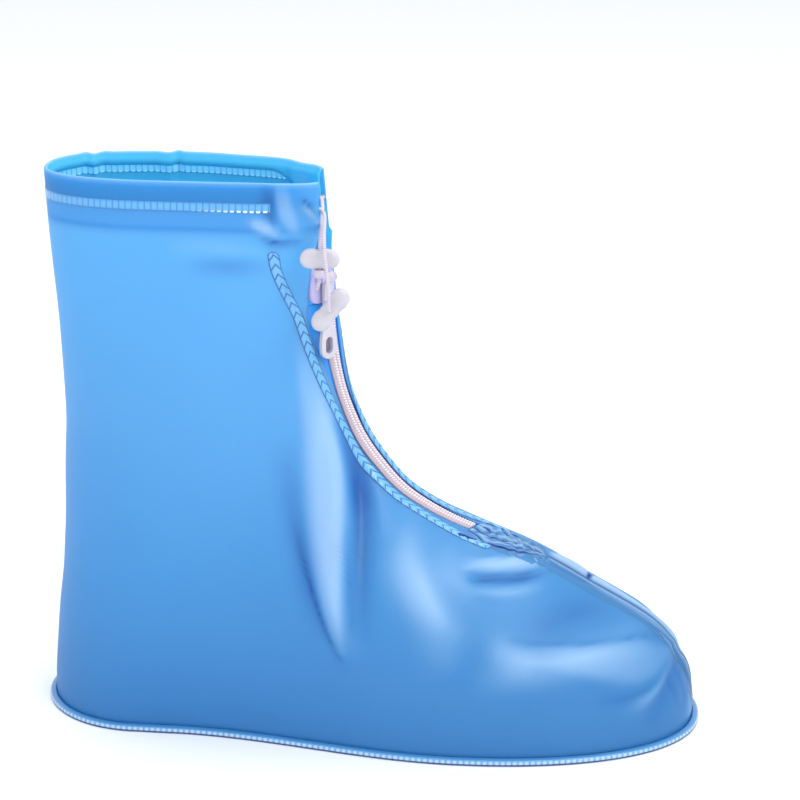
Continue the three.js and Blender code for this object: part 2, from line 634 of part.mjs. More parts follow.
const cover = new THREE.Group();
const blueFilm = { color: 0x5fa4ee, roughness: 0.28, metalness: 0 };
const deepBlueFilm = { color: 0x2f7fdc, roughness: 0.25, metalness: 0 };
const weldedFilm = { color: 0x3f78c2, roughness: 0.35, metalness: 0 };
const whitePlastic = { color: 0xf2eff4, roughness: 0.35, metalness: 0 };
const lilacPlastic = { color: 0xe2dcf3, roughness: 0.3, metalness: 0 };
const coilNylon = { color: 0xefe2ea, roughness: 0.5, metalness: 0 };
const elasticCord = { color: 0xe9e3ee, roughness: 0.7, metalness: 0 };

function addPiece(name, geometry, finish, parent = cover) {
  const mesh = new THREE.Mesh(geometry, new THREE.MeshStandardMaterial(finish));
  mesh.name = name;
  parent.add(mesh);
  return mesh;
}
const toVectors = (route) => route.map((place) => new THREE.Vector3(...place));

addPiece('upper_shell', upperShell(), blueFilm);
addPiece('sole', sole(), weldedFilm);
addPiece('sole_edge_weld', soleEdgeWeld(), weldedFilm);
addPiece('hem', hem(), blueFilm);
addPiece('hem_ladder_weld', ladderWeld(), weldedFilm);
addPiece('toe_seam', toeSeam(), weldedFilm);
for (const [name, side] of [['near', -1], ['far', 1]]) {
  addPiece(`zip_tape_${name}`, zipTape(side), deepBlueFilm);
  addPiece(`chevron_weld_${name}`, chevronBand(side), weldedFilm);
}
addPiece('zip_coil', zipCoil(), coilNylon);

const sliderFrame = new THREE.Group();
sliderFrame.position.copy(sliderCentre);
sliderFrame.rotation.z = THREE.MathUtils.degToRad(sliderFacing);
cover.add(sliderFrame);
addPiece('zip_slider', slider(), lilacPlastic, sliderFrame);
addPiece('zip_pull', pull(), whitePlastic, sliderFrame);

addPiece('drawcord', cordTube(tunnelRoute()), elasticCord);
addPiece('cord_tail_near', cordTube(toVectors(nearTailRoute)), elasticCord);
addPiece('cord_tail_far', cordTube(toVectors(farTailRoute)), elasticCord);
const upper = addPiece('cord_toggle_upper', toggle(upperToggleSpan, axisZ), whitePlastic);
upper.position.set(...upperTogglePlace);
upper.rotation.y = -THREE.MathUtils.degToRad(upperToggleTurn);
const lower = addPiece('cord_toggle_lower', toggle(lowerToggleSpan, axisY), whitePlastic);
lower.position.set(...lowerTogglePlace);
lower.rotation.y = -THREE.MathUtils.degToRad(lowerToggleTurn);
addPiece('cord_knot', knot(), elasticCord).position.set(...knotPlace);

export default cover;
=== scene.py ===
import math
import bmesh
import bpy
import numpy as np
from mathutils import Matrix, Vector


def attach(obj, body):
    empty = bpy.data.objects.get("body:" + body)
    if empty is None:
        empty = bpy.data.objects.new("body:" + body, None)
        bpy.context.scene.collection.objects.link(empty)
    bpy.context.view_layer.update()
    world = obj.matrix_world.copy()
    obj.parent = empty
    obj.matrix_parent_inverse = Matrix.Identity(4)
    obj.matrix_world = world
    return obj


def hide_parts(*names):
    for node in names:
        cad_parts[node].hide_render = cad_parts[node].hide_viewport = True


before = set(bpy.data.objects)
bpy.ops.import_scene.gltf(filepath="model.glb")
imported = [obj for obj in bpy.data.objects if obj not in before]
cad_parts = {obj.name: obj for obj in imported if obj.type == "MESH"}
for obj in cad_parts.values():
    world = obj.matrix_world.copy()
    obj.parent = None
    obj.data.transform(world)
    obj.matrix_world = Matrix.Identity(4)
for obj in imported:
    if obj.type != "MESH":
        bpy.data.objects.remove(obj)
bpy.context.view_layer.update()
print("frame loaded")


def toLinear(hexColour):
    # sRGB hex to linear: (c / 12.92) below 0.04045, else ((c + 0.055) / 1.055) ^ 2.4
    parts = [int(hexColour[i:i + 2], 16) / 255 for i in (1, 3, 5)]
    return [c / 12.92 if c <= 0.04045 else ((c + 0.055) / 1.055) ** 2.4 for c in parts] + [1.0]


def addNode(tree, kind, settings=None, values=None, links=None):
    node = tree.nodes.new("ShaderNode" + kind)
    for name, value in (settings or {}).items():
        setattr(node, name, value)
    for socket, value in (values or {}).items():
        node.inputs[socket].default_value = value
    for socket, source in (links or {}).items():
        tree.links.new(source, node.inputs[socket])
    return node


def addObject(name, data):
    made = bpy.data.objects.new(name, data)
    bpy.context.scene.collection.objects.link(made)
    return made


def reworkMesh(source, target, *steps):
    # each step changes the mesh in place, as an open bmesh
    work = bmesh.new()
    work.from_mesh(source)
    for step in steps:
        step(work)
    work.to_mesh(target)
    work.free()


# camera, first because the cords are measured against its view
viewpoint = dict(azimuth=6.1, elevation=18.8, distance=0.9, target=(0.01355, 0.0, 0.1465), lens=92.25)


def addCamera(v):
    # back = (sin a cos e, -cos a cos e, sin e), and the camera stands that far behind its target
    a, e = math.radians(v["azimuth"]), math.radians(v["elevation"])
    back = Vector((math.sin(a) * math.cos(e), -math.cos(a) * math.cos(e), math.sin(e)))
    camera = addObject("camera", bpy.data.cameras.new("camera"))
    camera.data.lens = v["lens"]
    camera.data.clip_start = 0.05
    camera.location = Vector(v["target"]) + back * v["distance"]
    camera.rotation_euler = (-back).to_track_quat("-Z", "Y").to_euler()
    bpy.context.scene.camera = camera


addCamera(viewpoint)


def makePiece(name, places, faces, nodes=(), attributes=None, uv=None, merge=2e-6):
    # places in millimetres; values per vertex go in as attributes, uv as two numbers per vertex
    mesh = bpy.data.meshes.new(name)
    mesh.from_pydata((np.asarray(places, float).reshape(-1, 3) / 1000).tolist(), [], faces)
    for key, values in (attributes or {}).items():
        mesh.attributes.new(key, "FLOAT", "POINT").data.foreach_set("value", np.asarray(values, np.float32).ravel())
    if uv is not None:
        corners = np.zeros(len(mesh.loops), np.int32)
        mesh.loops.foreach_get("vertex_index", corners)
        mesh.uv_layers.new(name="weave").data.foreach_set("uv", uv.astype(np.float32)[corners].ravel())
    if merge:
        reworkMesh(mesh, mesh, lambda work: bmesh.ops.remove_doubles(work, verts=work.verts, dist=merge))
    mesh.polygons.foreach_set("use_smooth", [True] * len(mesh.polygons))
    piece = addObject(name, mesh)
    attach(piece, "cover")
    if nodes:
        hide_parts(*nodes)
    return piece


def slabFaces(rows, columns, closed=None):
    # quads of two grids, outer then inner, with walls round their edges; closed rows meet themselves and get no wall
    def quadsOf(*corners):
        # each corner is (layer, row, column), and its number counts columns, then rows, then layers
        numbers = [(layer * rows + row) * columns + column for layer, row, column in corners]
        return np.stack(numbers, -1).reshape(-1, 4)

    row, column = np.meshgrid(np.arange(rows - 1), np.arange(columns - 1), indexing="ij")
    r, end = np.arange(rows - 1), columns - 1
    if closed is not None:
        r = r[~(closed[:-1] & closed[1:])]
    c, top = np.arange(columns - 1), rows - 1
    return np.concatenate([
        quadsOf((0, row, column), (0, row, column + 1), (0, row + 1, column + 1), (0, row + 1, column)),
        quadsOf((1, row, column), (1, row + 1, column), (1, row + 1, column + 1), (1, row, column + 1)),
        quadsOf((0, r, 0), (0, r + 1, 0), (1, r + 1, 0), (1, r, 0)),
        quadsOf((0, r, end), (1, r, end), (1, r + 1, end), (0, r + 1, end)),
        quadsOf((0, 0, c), (1, 0, c), (1, 0, c + 1), (0, 0, c + 1)),
        quadsOf((0, top, c), (0, top, c + 1), (1, top, c + 1), (1, top, c))]).tolist()


def smoothLine(points, steps):
    # Catmull-Rom: each stretch is the cubic through its ends with slopes (next - previous) / 2
    p = np.asarray(points, float)
    padded = np.vstack([2 * p[0] - p[1], p, 2 * p[-1] - p[-2]])
    t = np.linspace(0, len(p) - 1, steps)
    i = np.minimum(t.astype(int), len(p) - 2)
    f = (t - i)[:, None]
    a, b, c, d = padded[i], padded[i + 1], padded[i + 2], padded[i + 3]
    return 0.5 * (2 * b + (c - a) * f + (2 * a - 5 * b + 4 * c - d) * f ** 2 + (3 * b - a - 3 * c + d) * f ** 3)


def tubeOver(line, radius, around):
    # a round section set square to the line, its first direction carried along the line without twisting
    tangent = np.gradient(line, axis=0)
    tangent /= np.linalg.norm(tangent, axis=1, keepdims=True)
    side = np.zeros_like(line)
    side[0] = np.cross(tangent[0], (0.3, 0.9, 0.2))
    for k in range(1, len(line)):
        side[k] = side[k - 1] - tangent[k] * (side[k - 1] @ tangent[k])
        side[k] /= np.linalg.norm(side[k])
    side[0] /= np.linalg.norm(side[0])
    other = np.cross(tangent, side)
    angle = np.linspace(0, 2 * math.pi, around, endpoint=False)
    ring = np.cos(angle)[None, :, None] * side[:, None] + np.sin(angle)[None, :, None] * other[:, None]
    return line[:, None] + ring * radius


def runAlong(line):
    # the length run along a line of points up to each of them
    return np.concatenate([[0], np.cumsum(np.linalg.norm(np.diff(line, axis=0), axis=1))])


def tubeFaces(rows, around):
    # quads between each ring of points and the next
    r, c = np.meshgrid(np.arange(rows - 1), np.arange(around), indexing="ij")
    n = (c + 1) % around
    return np.stack([r * around + c, r * around + n, (r + 1) * around + n, (r + 1) * around + c], -1).reshape(-1, 4)


# cords: the same places as the CAD's routes, in metres
cordRoutes = dict(
    diameter=0.0016, steps=150, around=14,
    near=[(-0.01955, -0.022, 0.23688), (-0.0186, -0.02095, 0.2367), (-0.0172, -0.0207, 0.236),
          (-0.0159, -0.022, 0.2348), (-0.0153, -0.0246, 0.2334), (-0.015, -0.0276, 0.2316),
          (-0.0147, -0.031, 0.2292), (-0.0143, -0.0342, 0.2258), (-0.0138, -0.0364, 0.2214),
          (-0.0131, -0.0379, 0.2166), (-0.0124, -0.0388, 0.2116), (-0.012, -0.0392, 0.2068),
          (-0.0119, -0.0392, 0.202), (-0.01195, -0.0388, 0.1986), (-0.012, -0.0374, 0.197),
          (-0.012, -0.0354, 0.1966), (-0.012, -0.0334, 0.1966)],
    far=[(-0.02055, 0.00086, 0.23632), (-0.01995, -0.0009, 0.2362), (-0.0193, -0.0034, 0.2356),
         (-0.0187, -0.007, 0.2344), (-0.0182, -0.011, 0.233), (-0.0177, -0.0148, 0.2316),
         (-0.0174, -0.0186, 0.2302), (-0.0171, -0.0224, 0.2288), (-0.0169, -0.0262, 0.2268),
         (-0.0167, -0.0292, 0.224), (-0.0167, -0.0304, 0.2206), (-0.0167, -0.0304, 0.2176),
         (-0.0168, -0.0304, 0.2113), (-0.0173, -0.0303, 0.2076), (-0.0182, -0.0302, 0.204)])


def addCord(name, line, node):
    # the tube with its two ends closed by a fan; v runs along it in metres and u once round
    rows, around = len(line), cordRoutes["around"]
    skin, length = tubeOver(line, cordRoutes["diameter"] * 500, around), runAlong(line)
    places = np.vstack([skin.reshape(-1, 3), line[:1], line[-1:]])
    first, last, lastRing = rows * around, rows * around + 1, (rows - 1) * around
    faces = tubeFaces(rows, around).tolist()
    faces += [[first, (k + 1) % around, k] for k in range(around)]
    faces += [[last, lastRing + k, lastRing + (k + 1) % around] for k in range(around)]
    u = np.tile(np.minimum(np.arange(around), around - np.arange(around)) / around, rows)
    v = np.repeat(length / 1000, around)
    uv = np.vstack([np.stack([u, v], -1), [[0, 0], [0, length[-1] / 1000]]])
    return makePiece(name, places, faces, (node,), uv=uv, merge=0), length[-1] / 1000


cordPieces = {}
for key, farEnd in (("near", "fitting"), ("far", "knot")):
    line = smoothLine(np.array(cordRoutes[key]) * 1000, cordRoutes["steps"])
    cordPieces[key], cordLength = addCord("cordTail" + key.capitalize(), line, "cord_tail_" + key)
    cordPieces[key + "Facts"] = dict(exit=cordRoutes[key][0], length=cordLength, diameter=cordRoutes["diameter"],
                                     far_end=farEnd, stiffness="limp", lay="hanging",
                                     path=(line / 1000).tolist())
    print("cord", key, round(cordLength * 1000, 1), "mm")


# the film's own sizes in millimetres, as in the CAD
cover = dict(length=300, width=118, height=249, base=2.5, edge=3.0, filmWall=1.0)
halfLength = cover["length"] / 2 - cover["edge"]
halfWidth = cover["width"] / 2 - cover["edge"]

sectionColumns = ("level", "frontX", "frontZ", "heelX", "nearReach", "heelHalf", "frontHalf", "heelCap", "nearCap",
                  "farCap", "heelPower", "nearPower", "farPower", "zipShift", "nearGap", "farGap", "bandShift")
sectionRows = np.array([
    (0.0, 1.0, 0.0, -1.0, 0.0, 0.72, 1.0, 0.15, 0.37, 0.37, 2.0, 2.2, 2.2, 0.0, 0.06, 0.06, 0.0),
    (0.045, 0.997, 0.04, -0.997, 0.0, 0.73, 1.0, 0.15, 0.37, 0.37, 2.0, 2.2, 2.2, 0.0, 0.06, 0.06, 0.0),
    (0.112, 0.963, 0.108, -0.986, 0.0, 0.75, 0.98, 0.16, 0.38, 0.38, 2.0, 2.1, 2.1, 0.015, 0.06, 0.06, 0.0),
    (0.182, 0.871, 0.181, -0.973, 0.0, 0.77, 0.92, 0.18, 0.42, 0.42, 2.0, 2.0, 2.0, 0.035, 0.06, 0.06, 0.0),
    (0.252, 0.677, 0.256, -0.956, 0.0, 0.78, 0.85, 0.21, 0.5, 0.5, 2.0, 1.9, 1.9, 0.055, 0.06, 0.06, 0.0),
    (0.298, 0.544, 0.303, -0.949, 0.0, 0.78, 0.81, 0.24, 0.54, 0.54, 2.0, 1.85, 1.85, 0.075, 0.06, 0.06, 0.2),
    (0.338, 0.388, 0.343, -0.943, 0.0, 0.78, 0.78, 0.27, 0.58, 0.58, 2.0, 1.8, 1.8, 0.095, 0.06, 0.075, 0.17),
    (0.378, 0.252, 0.379, -0.939, 0.0, 0.77, 0.76, 0.3, 0.6, 0.6, 2.0, 1.75, 1.75, 0.108, 0.06, 0.075, 0.12),
    (0.424, 0.136, 0.424, -0.936, 0.0, 0.76, 0.75, 0.34, 0.58, 0.58, 2.0, 1.65, 1.65, 0.116, 0.06, 0.075, 0.102),
    (0.48, 0.052, 0.48, -0.931, 0.0, 0.75, 0.74, 0.38, 0.55, 0.55, 2.0, 1.58, 1.58, 0.116, 0.06, 0.075, 0.1),
    (0.54, -0.01, 0.54, -0.924, 0.0, 0.73, 0.73, 0.41, 0.5, 0.5, 2.0, 1.53, 1.53, 0.116, 0.06, 0.075, 0.1),
    (0.621, -0.061, 0.621, -0.925, 0.0, 0.7, 0.71, 0.44, 0.5, 0.5, 2.0, 1.53, 1.53, 0.116, 0.075, 0.075, 0.14),
    (0.738, -0.088, 0.738, -0.93, 0.0, 0.64, 0.66, 0.45, 0.5, 0.5, 2.1, 1.53, 1.53, 0.116, 0.16, 0.08, 0.2),
    (0.85, -0.107, 0.85, -0.941, 0.0, 0.59, 0.6, 0.44, 0.45, 0.5, 2.2, 2.2, 1.7, 0.116, 0.19, 0.09, 0.37),
    (0.92, -0.119, 0.92, -0.946, 0.017, 0.56, 0.56, 0.43, 0.3, 0.5, 2.3, 3.6, 1.75, 0.116, 0.275, 0.13, 0.46),
    (1.0, -0.129, 1.0, -0.949, 0.037, 0.53, 0.54, 0.42, 0.2, 0.5, 2.4, 4.5, 1.8, 0.116, 0.35, 0.17, 0.4)])

# broad folds, as in the CAD: side (-1 zip side, 1 far side, 0 both), from x, z and to x, z as shares of half the
# length and of the height, then sag, width and rise as shares of half the width
foldRows = [
    (-1, -0.130, 0.680, -0.037, 0.170, 0.020, 0.125, 0.080), (-1, -0.015, 0.640, 0.020, 0.200, 0.010, 0.075, -0.062),
    (-1, -0.235, 0.560, -0.110, 0.200, 0.020, 0.090, -0.036), (-1, 0.120, 0.370, 0.285, 0.160, -0.010, 0.150, 0.050),
    (-1, 0.300, 0.345, 0.560, 0.325, -0.030, 0.055, 0.048), (-1, 0.300, 0.310, 0.560, 0.290, -0.040, 0.060, -0.040),
    (-1, 0.930, 0.190, 0.330, 0.150, 0.010, 0.110, 0.055), (-1, 0.900, 0.250, 0.450, 0.225, 0.020, 0.090, -0.036),
    (0, 0.965, 0.150, 0.860, 0.040, 0.010, 0.070, -0.030), (-1, -0.560, 0.895, -0.250, 0.880, -0.010, 0.060, 0.030),
    (-1, -0.500, 0.862, -0.250, 0.855, -0.010, 0.070, -0.030), (1, -0.200, 0.620, -0.110, 0.160, 0.020, 0.140, 0.050),
    (1, 0.200, 0.300, 0.300, 0.100, 0.010, 0.150, 0.035), (1, 0.900, 0.180, 0.380, 0.130, 0.010, 0.120, 0.045)]


def sectionAt(level):
    # every column of the table at a level: a smooth cubic through its rows, sloped by the rows on either side
    rows, at = sectionRows, sectionRows[:, 0]
    slopes = np.gradient(rows, axis=0)
    slopes[1:-1] = (rows[2:] - rows[:-2]) / (at[2:] - at[:-2])[:, None]
    slopes[0] = (rows[1] - rows[0]) / (at[1] - at[0])
    slopes[-1] = (rows[-1] - rows[-2]) / (at[-1] - at[-2])
    level = np.asarray(level, float)
    low = np.clip(np.searchsorted(at, level, side="right") - 1, 0, len(at) - 2)
    span = at[low + 1] - at[low]
    t = (level - at[low]) / span
    ease = (t * t * (3 - 2 * t))[..., None]
    leave = (t * (1 - t) ** 2 * span)[..., None]
    arrive = (t * t * (t - 1) * span)[..., None]
    value = rows[low] * (1 - ease) + rows[low + 1] * ease + leave * slopes[low] + arrive * slopes[low + 1]
    return {name: value[..., k] for k, name in enumerate(sectionColumns)}


def smoothStep(value, low, high):
    t = np.clip((value - low) / (high - low), 0, 1)
    return t * t * (3 - 2 * t)


def endRound(share, cap, power):
    # an end drawn in as a superellipse: (1 - along^power)^(1/power), along running over the end's own length
    along = np.clip((share - 1 + cap) / cap, 0, 1)
    return np.maximum(1 - along ** power, 0) ** (1 / power)


def smoothPoint(turn, level):
    # the film without folds: turn runs from 0 at the front edge to pi at the heel, below 0 on the zip side
    turn, level = np.broadcast_arrays(np.asarray(turn, float), np.asarray(level, float))
    s = sectionAt(level)
    near = np.sin(turn) < 0
    share = (1 + np.cos(turn)) / 2
    front = s["frontX"] + np.where(near, s["nearReach"], 0)
    cap = np.where(near, s["nearCap"], s["farCap"])
    power = np.where(near, s["nearPower"], s["farPower"])
    body = s["heelHalf"] + (s["frontHalf"] - s["heelHalf"]) * smoothStep(share, 0.22, 0.64)
    across = halfWidth * body * endRound(share, cap, power) * endRound(1 - share, s["heelCap"], s["heelPower"])
    rise = level + (s["frontZ"] - level) * share
    x = halfLength * (s["heelX"] + (front - s["heelX"]) * share)
    z = cover["base"] + (cover["height"] - cover["base"]) * rise
    return np.stack([x, np.where(near, -across, across), z], -1)


def turnAt(across, level):
    # the turn at which the film lies a distance across from the middle, near the front
    s = sectionAt(level)
    near = across < 0
    cap = np.where(near, s["nearCap"], s["farCap"])
    power = np.where(near, s["nearPower"], s["farPower"])
    part = np.minimum(np.abs(across) / (halfWidth * s["frontHalf"]), 0.999)
    along = (1 - part ** power) ** (1 / power)
    turn = np.arccos(2 * (1 - cap + cap * along) - 1)
    return np.where(near, -turn, turn)


def zipTurn(level, across):
    return turnAt(-sectionAt(level)["zipShift"] * halfWidth + across, level)


def broadFolds(place):
    # each fold lifts by rise * sin(pi * along) * exp(-(distance from its sagging line / width)^2)
    x, y, z = place[..., 0], place[..., 1], place[..., 2]
    offMiddle = smoothStep(np.abs(y), 0.12 * halfWidth, 0.4 * halfWidth)
    lift = np.zeros(x.shape)
    for side, fromX, fromZ, toX, toZ, bow, width, rise in foldRows:
        startX, startZ = fromX * halfLength, fromZ * cover["height"]
        runX, runZ = toX * halfLength - startX, toZ * cover["height"] - startZ
        run = math.hypot(runX, runZ)
        along = np.clip(((x - startX) * runX + (z - startZ) * runZ) / run ** 2, 0, 1)
        beside = ((x - startX) * runZ - (z - startZ) * runX) / run
        away = (beside - bow * halfWidth * 4 * along * (1 - along)) / (width * halfWidth)
        here = 1 if side == 0 else np.where((y < 0) == (side < 0), offMiddle, 0)
        lift += rise * halfWidth * np.sin(np.pi * along) * here * np.exp(-away * away)
    return lift


# small folds and creases of the film, x and z in millimetres and how wide the fold is there, then its height.
# ridge and valley have a round back, a crease a sharp one, and a flat has a level top with steep sides
fineFoldRows = [
    ("flat", -1, [(-27, 180, 3), (-24.5, 160, 4), (-20, 139, 6), (-17.5, 121, 7.6), (-16, 97, 7), (-12.5, 74, 5),
                  (-7.5, 48, 2.6)], 1.3),
    ("ridge", -1, [(-21, 150, 2), (-15, 121, 2.4), (-12.5, 97, 2.6), (-10, 74, 2.2), (-7, 54, 1.6)], 0.8),
    ("crease", -1, [(-28, 100, 2.5), (-17, 64, 2), (-6, 40, 1.4)], -1.6),
    ("crease", -1, [(-7, 100, 2.6), (-4, 76, 2.3), (-1.8, 54, 1.6)], -0.9),
    ("valley", -1, [(-15, 146, 4), (-6, 126, 6), (1, 100, 6)], -1.2),
    ("ridge", -1, [(21, 97, 5), (19, 84, 7), (27, 70, 7), (41, 57, 4)], 1.1),
    ("ridge", -1, [(33, 88, 5), (41, 78, 6), (49, 67, 4)], 0.6),
    ("flat", -1, [(45, 80.5, 1.9), (57, 79, 2.1), (68, 77.8, 1.9), (78, 76.2, 1.4)], 2.4),
    ("crease", -1, [(46, 75.6, 1.4), (58, 74.6, 1.6), (69, 73.8, 1.4), (79, 73.6, 1.1)], -1.3),
    ("ridge", -1, [(49, 71.5, 1.8), (64, 69.5, 2.2), (80, 70, 1.8)], 0.9),
    ("flat", -1, [(62, 48, 3), (80, 45.5, 4), (96, 42.8, 5), (111, 39.6, 6.5), (124, 36.5, 6.5),
                  (136.5, 37, 1)], 0.8),
    ("crease", -1, [(62, 54, 1.6), (94, 49, 1.6), (114, 47.4, 1.4), (127, 44.6, 1.2), (137, 38, 0.8)], -0.8),
    ("crease", -1, [(104, 26, 4), (122, 26, 3), (134, 30, 1)], -0.8),
    ("ridge", -1, [(118, 21, 4), (130, 26, 2.5), (136.5, 33, 0.8)], 0.8),
    ("ridge", -1, [(56, 54, 5), (66, 46, 6), (78, 42, 5)], 0.8),
    ("crease", 0, [(137.5, 33, 1), (141.5, 22, 1.3), (144.5, 9, 1.2)], -0.8),
    ("crease", 0, [(134.5, 32, 0.9), (138, 22, 1.3), (141, 12, 1.2)], -0.6),
    ("ridge", 0, [(143.8, 16, 1.2), (145, 9, 1.4), (145.5, 4, 1.2)], 0.8),
    ("ridge", -1, [(-46, 233, 2), (-40, 230.5, 2.4), (-33, 227, 2)], 2.2),
    ("crease", -1, [(-42, 226, 2), (-34, 223.5, 2.2), (-24, 223.5, 1.6)], -1.8),
    ("flat", -1, [(-33, 248, 3), (-31.5, 240, 3.4), (-29, 233, 3), (-26, 227, 2)], 1.1),
    ("valley", -1, [(-39, 248, 2.6), (-38, 238, 3), (-36, 230, 2)], -1.0),
    ("crease", -1, [(-25, 243, 1.4), (-21, 239, 1.3), (-18, 232, 1)], -1.5),
    ("ridge", -1, [(-24, 240, 1.4), (-20.5, 236, 1.4), (-18, 230, 1.2)], 1.5),
    ("ridge", 1, [(-30, 246, 3), (-27, 236, 3.5), (-24, 226, 2.5)], 1.0),
    ("crease", 1, [(-36, 247, 2), (-34, 238, 2), (-32, 230, 2)], -0.7),
    ("ridge", 1, [(-22, 160, 6), (-18, 120, 8), (-15, 80, 6)], 1.2),
    ("crease", 1, [(-30, 90, 3), (-22, 64, 3), (-14, 44, 2)], -0.8),
    ("ridge", 1, [(60, 62, 5), (90, 50, 6), (120, 36, 4)], 0.9)]

# crimps of the rim: side, x, how long each is along the rim, and how far it pushes the film out
rimRows = [(-1, -36.5, 1.6, -0.7), (-1, -30, 6, 0.5), (-1, -80, 22, -0.5), (1, -88, 2.0, 1.3), (1, -92, 3.5, -0.8),
           (1, -60, 14, -0.7), (1, -128, 2.2, 0.9), (1, -124, 1.8, -1.0), (1, -120, 2.2, 0.7), (1, -30, 5, -1.2)]


def strokeLift(place, stroke):
    # height * sin(pi * along)^0.6 * profile, which for away = distance to the smoothed line / width there is
    # exp(-1.6 away) for a crease, exp(-away^4) for a flat and exp(-away^2) for the others
    kind, side, points, height = stroke
    line = smoothLine(points, 4 * len(points))
    flat = place.reshape(-1, 3)
    reach = 3.2 * line[:, 2].max()
    near = ((flat[:, 0] > line[:, 0].min() - reach) & (flat[:, 0] < line[:, 0].max() + reach)
            & (flat[:, 2] > line[:, 1].min() - reach) & (flat[:, 2] < line[:, 1].max() + reach))
    if side:
        near &= (flat[:, 1] < 0) == (side < 0)
    lift = np.zeros(len(flat))
    spot = flat[near][:, [0, 2]]
    if len(spot):
        start, run = line[:-1, :2], np.diff(line[:, :2], axis=0)
        share = np.clip(((spot[:, None] - start) * run).sum(-1) / (run ** 2).sum(-1), 0, 1)
        gap = np.linalg.norm(spot[:, None] - start - share[..., None] * run, axis=-1)
        best = gap.argmin(1)
        pick = np.arange(len(spot))
        along = (best + share[pick, best]) / len(run)
        width = np.interp(along, np.linspace(0, 1, len(line)), line[:, 2])
        away = gap[pick, best] / width
        profile = np.exp(-1.6 * away) if kind == "crease" else np.exp(-away ** (4 if kind == "flat" else 2))
        lift[near] = height * np.sin(np.pi * np.clip(along, 0.02, 0.98)) ** 0.6 * profile
    return lift.reshape(place.shape[:-1])


# film gathered past the zip's end, in millimetres: where it starts, is full, starts to fade and ends along x
gather = dict(start=44, full=56, fade=74, end=84, middle=-4, width=7.5, rise=0.55)


def crumple(place):
    # crossed waves under a bell across the film: sin(ax + by) + sin(cx - dy) + 0.8 |sin(ex + fy)|
    g, x, y = gather, place[..., 0], place[..., 1]
    onTop = np.exp(-((y - g["middle"]) / g["width"]) ** 2)
    onTop *= smoothStep(x, g["start"], g["full"]) * (1 - smoothStep(x, g["fade"], g["end"]))
    waves = np.sin(x * 1.05 + y * 0.9) + np.sin(x * 0.62 - y * 1.25 + 1.1) + 0.8 * np.abs(np.sin(x * 0.8 + y * 0.3))
    return g["rise"] * onTop * waves


# the pinched line along the toe: each part's height, its distance from the line and its width; x of leaf and waist.
# The near and far parts are the painted highlight either side of the line
toeLine = dict(line=(1.5, 1.6), groove=(1.1, 4.5, 2.4), leaf=(0.9, 2.5, 2.2), leafAlong=(91, 6), waist=(0.8, 2, 3),
               waistAlong=(99, 2), near=(0.75, -4.2, 2.2), far=(0.95, 3.4, 2.6), lean=1.2)


def bell(value, middle, width):
    return np.exp(-((value - middle) / width) ** 2)


def besideToeLine(place):
    # x, and the distance from the line, which leans towards the zip behind x 100
    x = place[..., 0]
    return x, place[..., 1] + toeLine["lean"] * smoothStep(100 - x, 0, 20)


def toeRidge(place):
    # a sharp rise e^(-|y| / width) between two grooves, with a leaf bulging on its far side that a waist cuts short
    t = toeLine
    x, y = besideToeLine(place)
    along = smoothStep(x, 76, 84) * (1 - smoothStep(x, 141, 147))
    rise = t["line"][0] * np.exp(-np.abs(y) / t["line"][1])
    groove = t["groove"][0] * bell(np.abs(y), *t["groove"][1:])
    leaf = t["leaf"][0] * bell(x, *t["leafAlong"]) * bell(y, *t["leaf"][1:])
    waist = t["waist"][0] * bell(x, *t["waistAlong"]) * bell(y, *t["waist"][1:])
    return along * (rise - groove + leaf - waist)


def toePaintedHighlight(place):
    # painted highlight either side of the toe's pinched line, where its facets catch the light: one bell across the
    # film on each side
    x, y = besideToeLine(place)
    along = smoothStep(x, 80, 90) * (1 - smoothStep(x, 136, 144))
    near = bell(y, *toeLine["near"][1:]) * smoothStep(x, 96, 106)
    return along * (toeLine["near"][0] * near + toeLine["far"][0] * bell(y, *toeLine["far"][1:]))


def filmFrame(turn, level):
    # the folded film and its outward direction: the smooth film moved along its normal by all the folds
    turn, level = np.broadcast_arrays(np.asarray(turn, float), np.asarray(level, float))
    step = 0.004
    place = smoothPoint(turn, level)
    aside = smoothPoint(turn + step, level) - smoothPoint(turn - step, level)
    up = smoothPoint(turn, np.minimum(level + step, 1)) - smoothPoint(turn, np.maximum(level - step, 0))
    outward = np.cross(aside, up)
    outward /= np.linalg.norm(outward, axis=-1, keepdims=True) + 1e-9
    lift = broadFolds(place) + crumple(place) + toeRidge(place)
    for stroke in fineFoldRows:
        lift = lift + strokeLift(place, stroke)
    lift = lift * smoothStep(place[..., 2], 3, 8)
    return place, outward, lift


def filmPoint(turn, level, depth):
    place, outward, lift = filmFrame(turn, level)
    return place + outward * (lift - depth)[..., None]


def levelOf(height):
    return (height - cover["base"]) / (cover["height"] - cover["base"])


# upper film: rows climb the outside, roll over the rim and go down inside as the hem. The tones are painted highlight
# and painted shade: they say how many millimetres of broad or fine fold make the film fully pale or fully deep, how
# much the crumples count, and how strong and how far down the painted highlight along the rim reaches
upperFilm = dict(columns=256, footRows=60, legRows=94, rollRows=9, insideRows=26, wall=0.5, rimRoll=0.8,
                 slitFrom=0.335, slitFull=0.36, slitReach=4, crowding=0.25, nearCrowding=0.22,
                 broadTone=7, fineTone=1.9, crumplePaintedShading=0.6, rimPaintedHighlight=0.6, rimPaintedHighlightDrop=0.9)
hemSizes = dict(depth=22, tunnelDepth=4.9, frontDepth=15, seat=1.25, tunnel=2.7, frontGap=19,
                ladderTop=9, ladderFoot=12.5, paleBelow=0.6, frontPale=0.45, footLine=0.5)


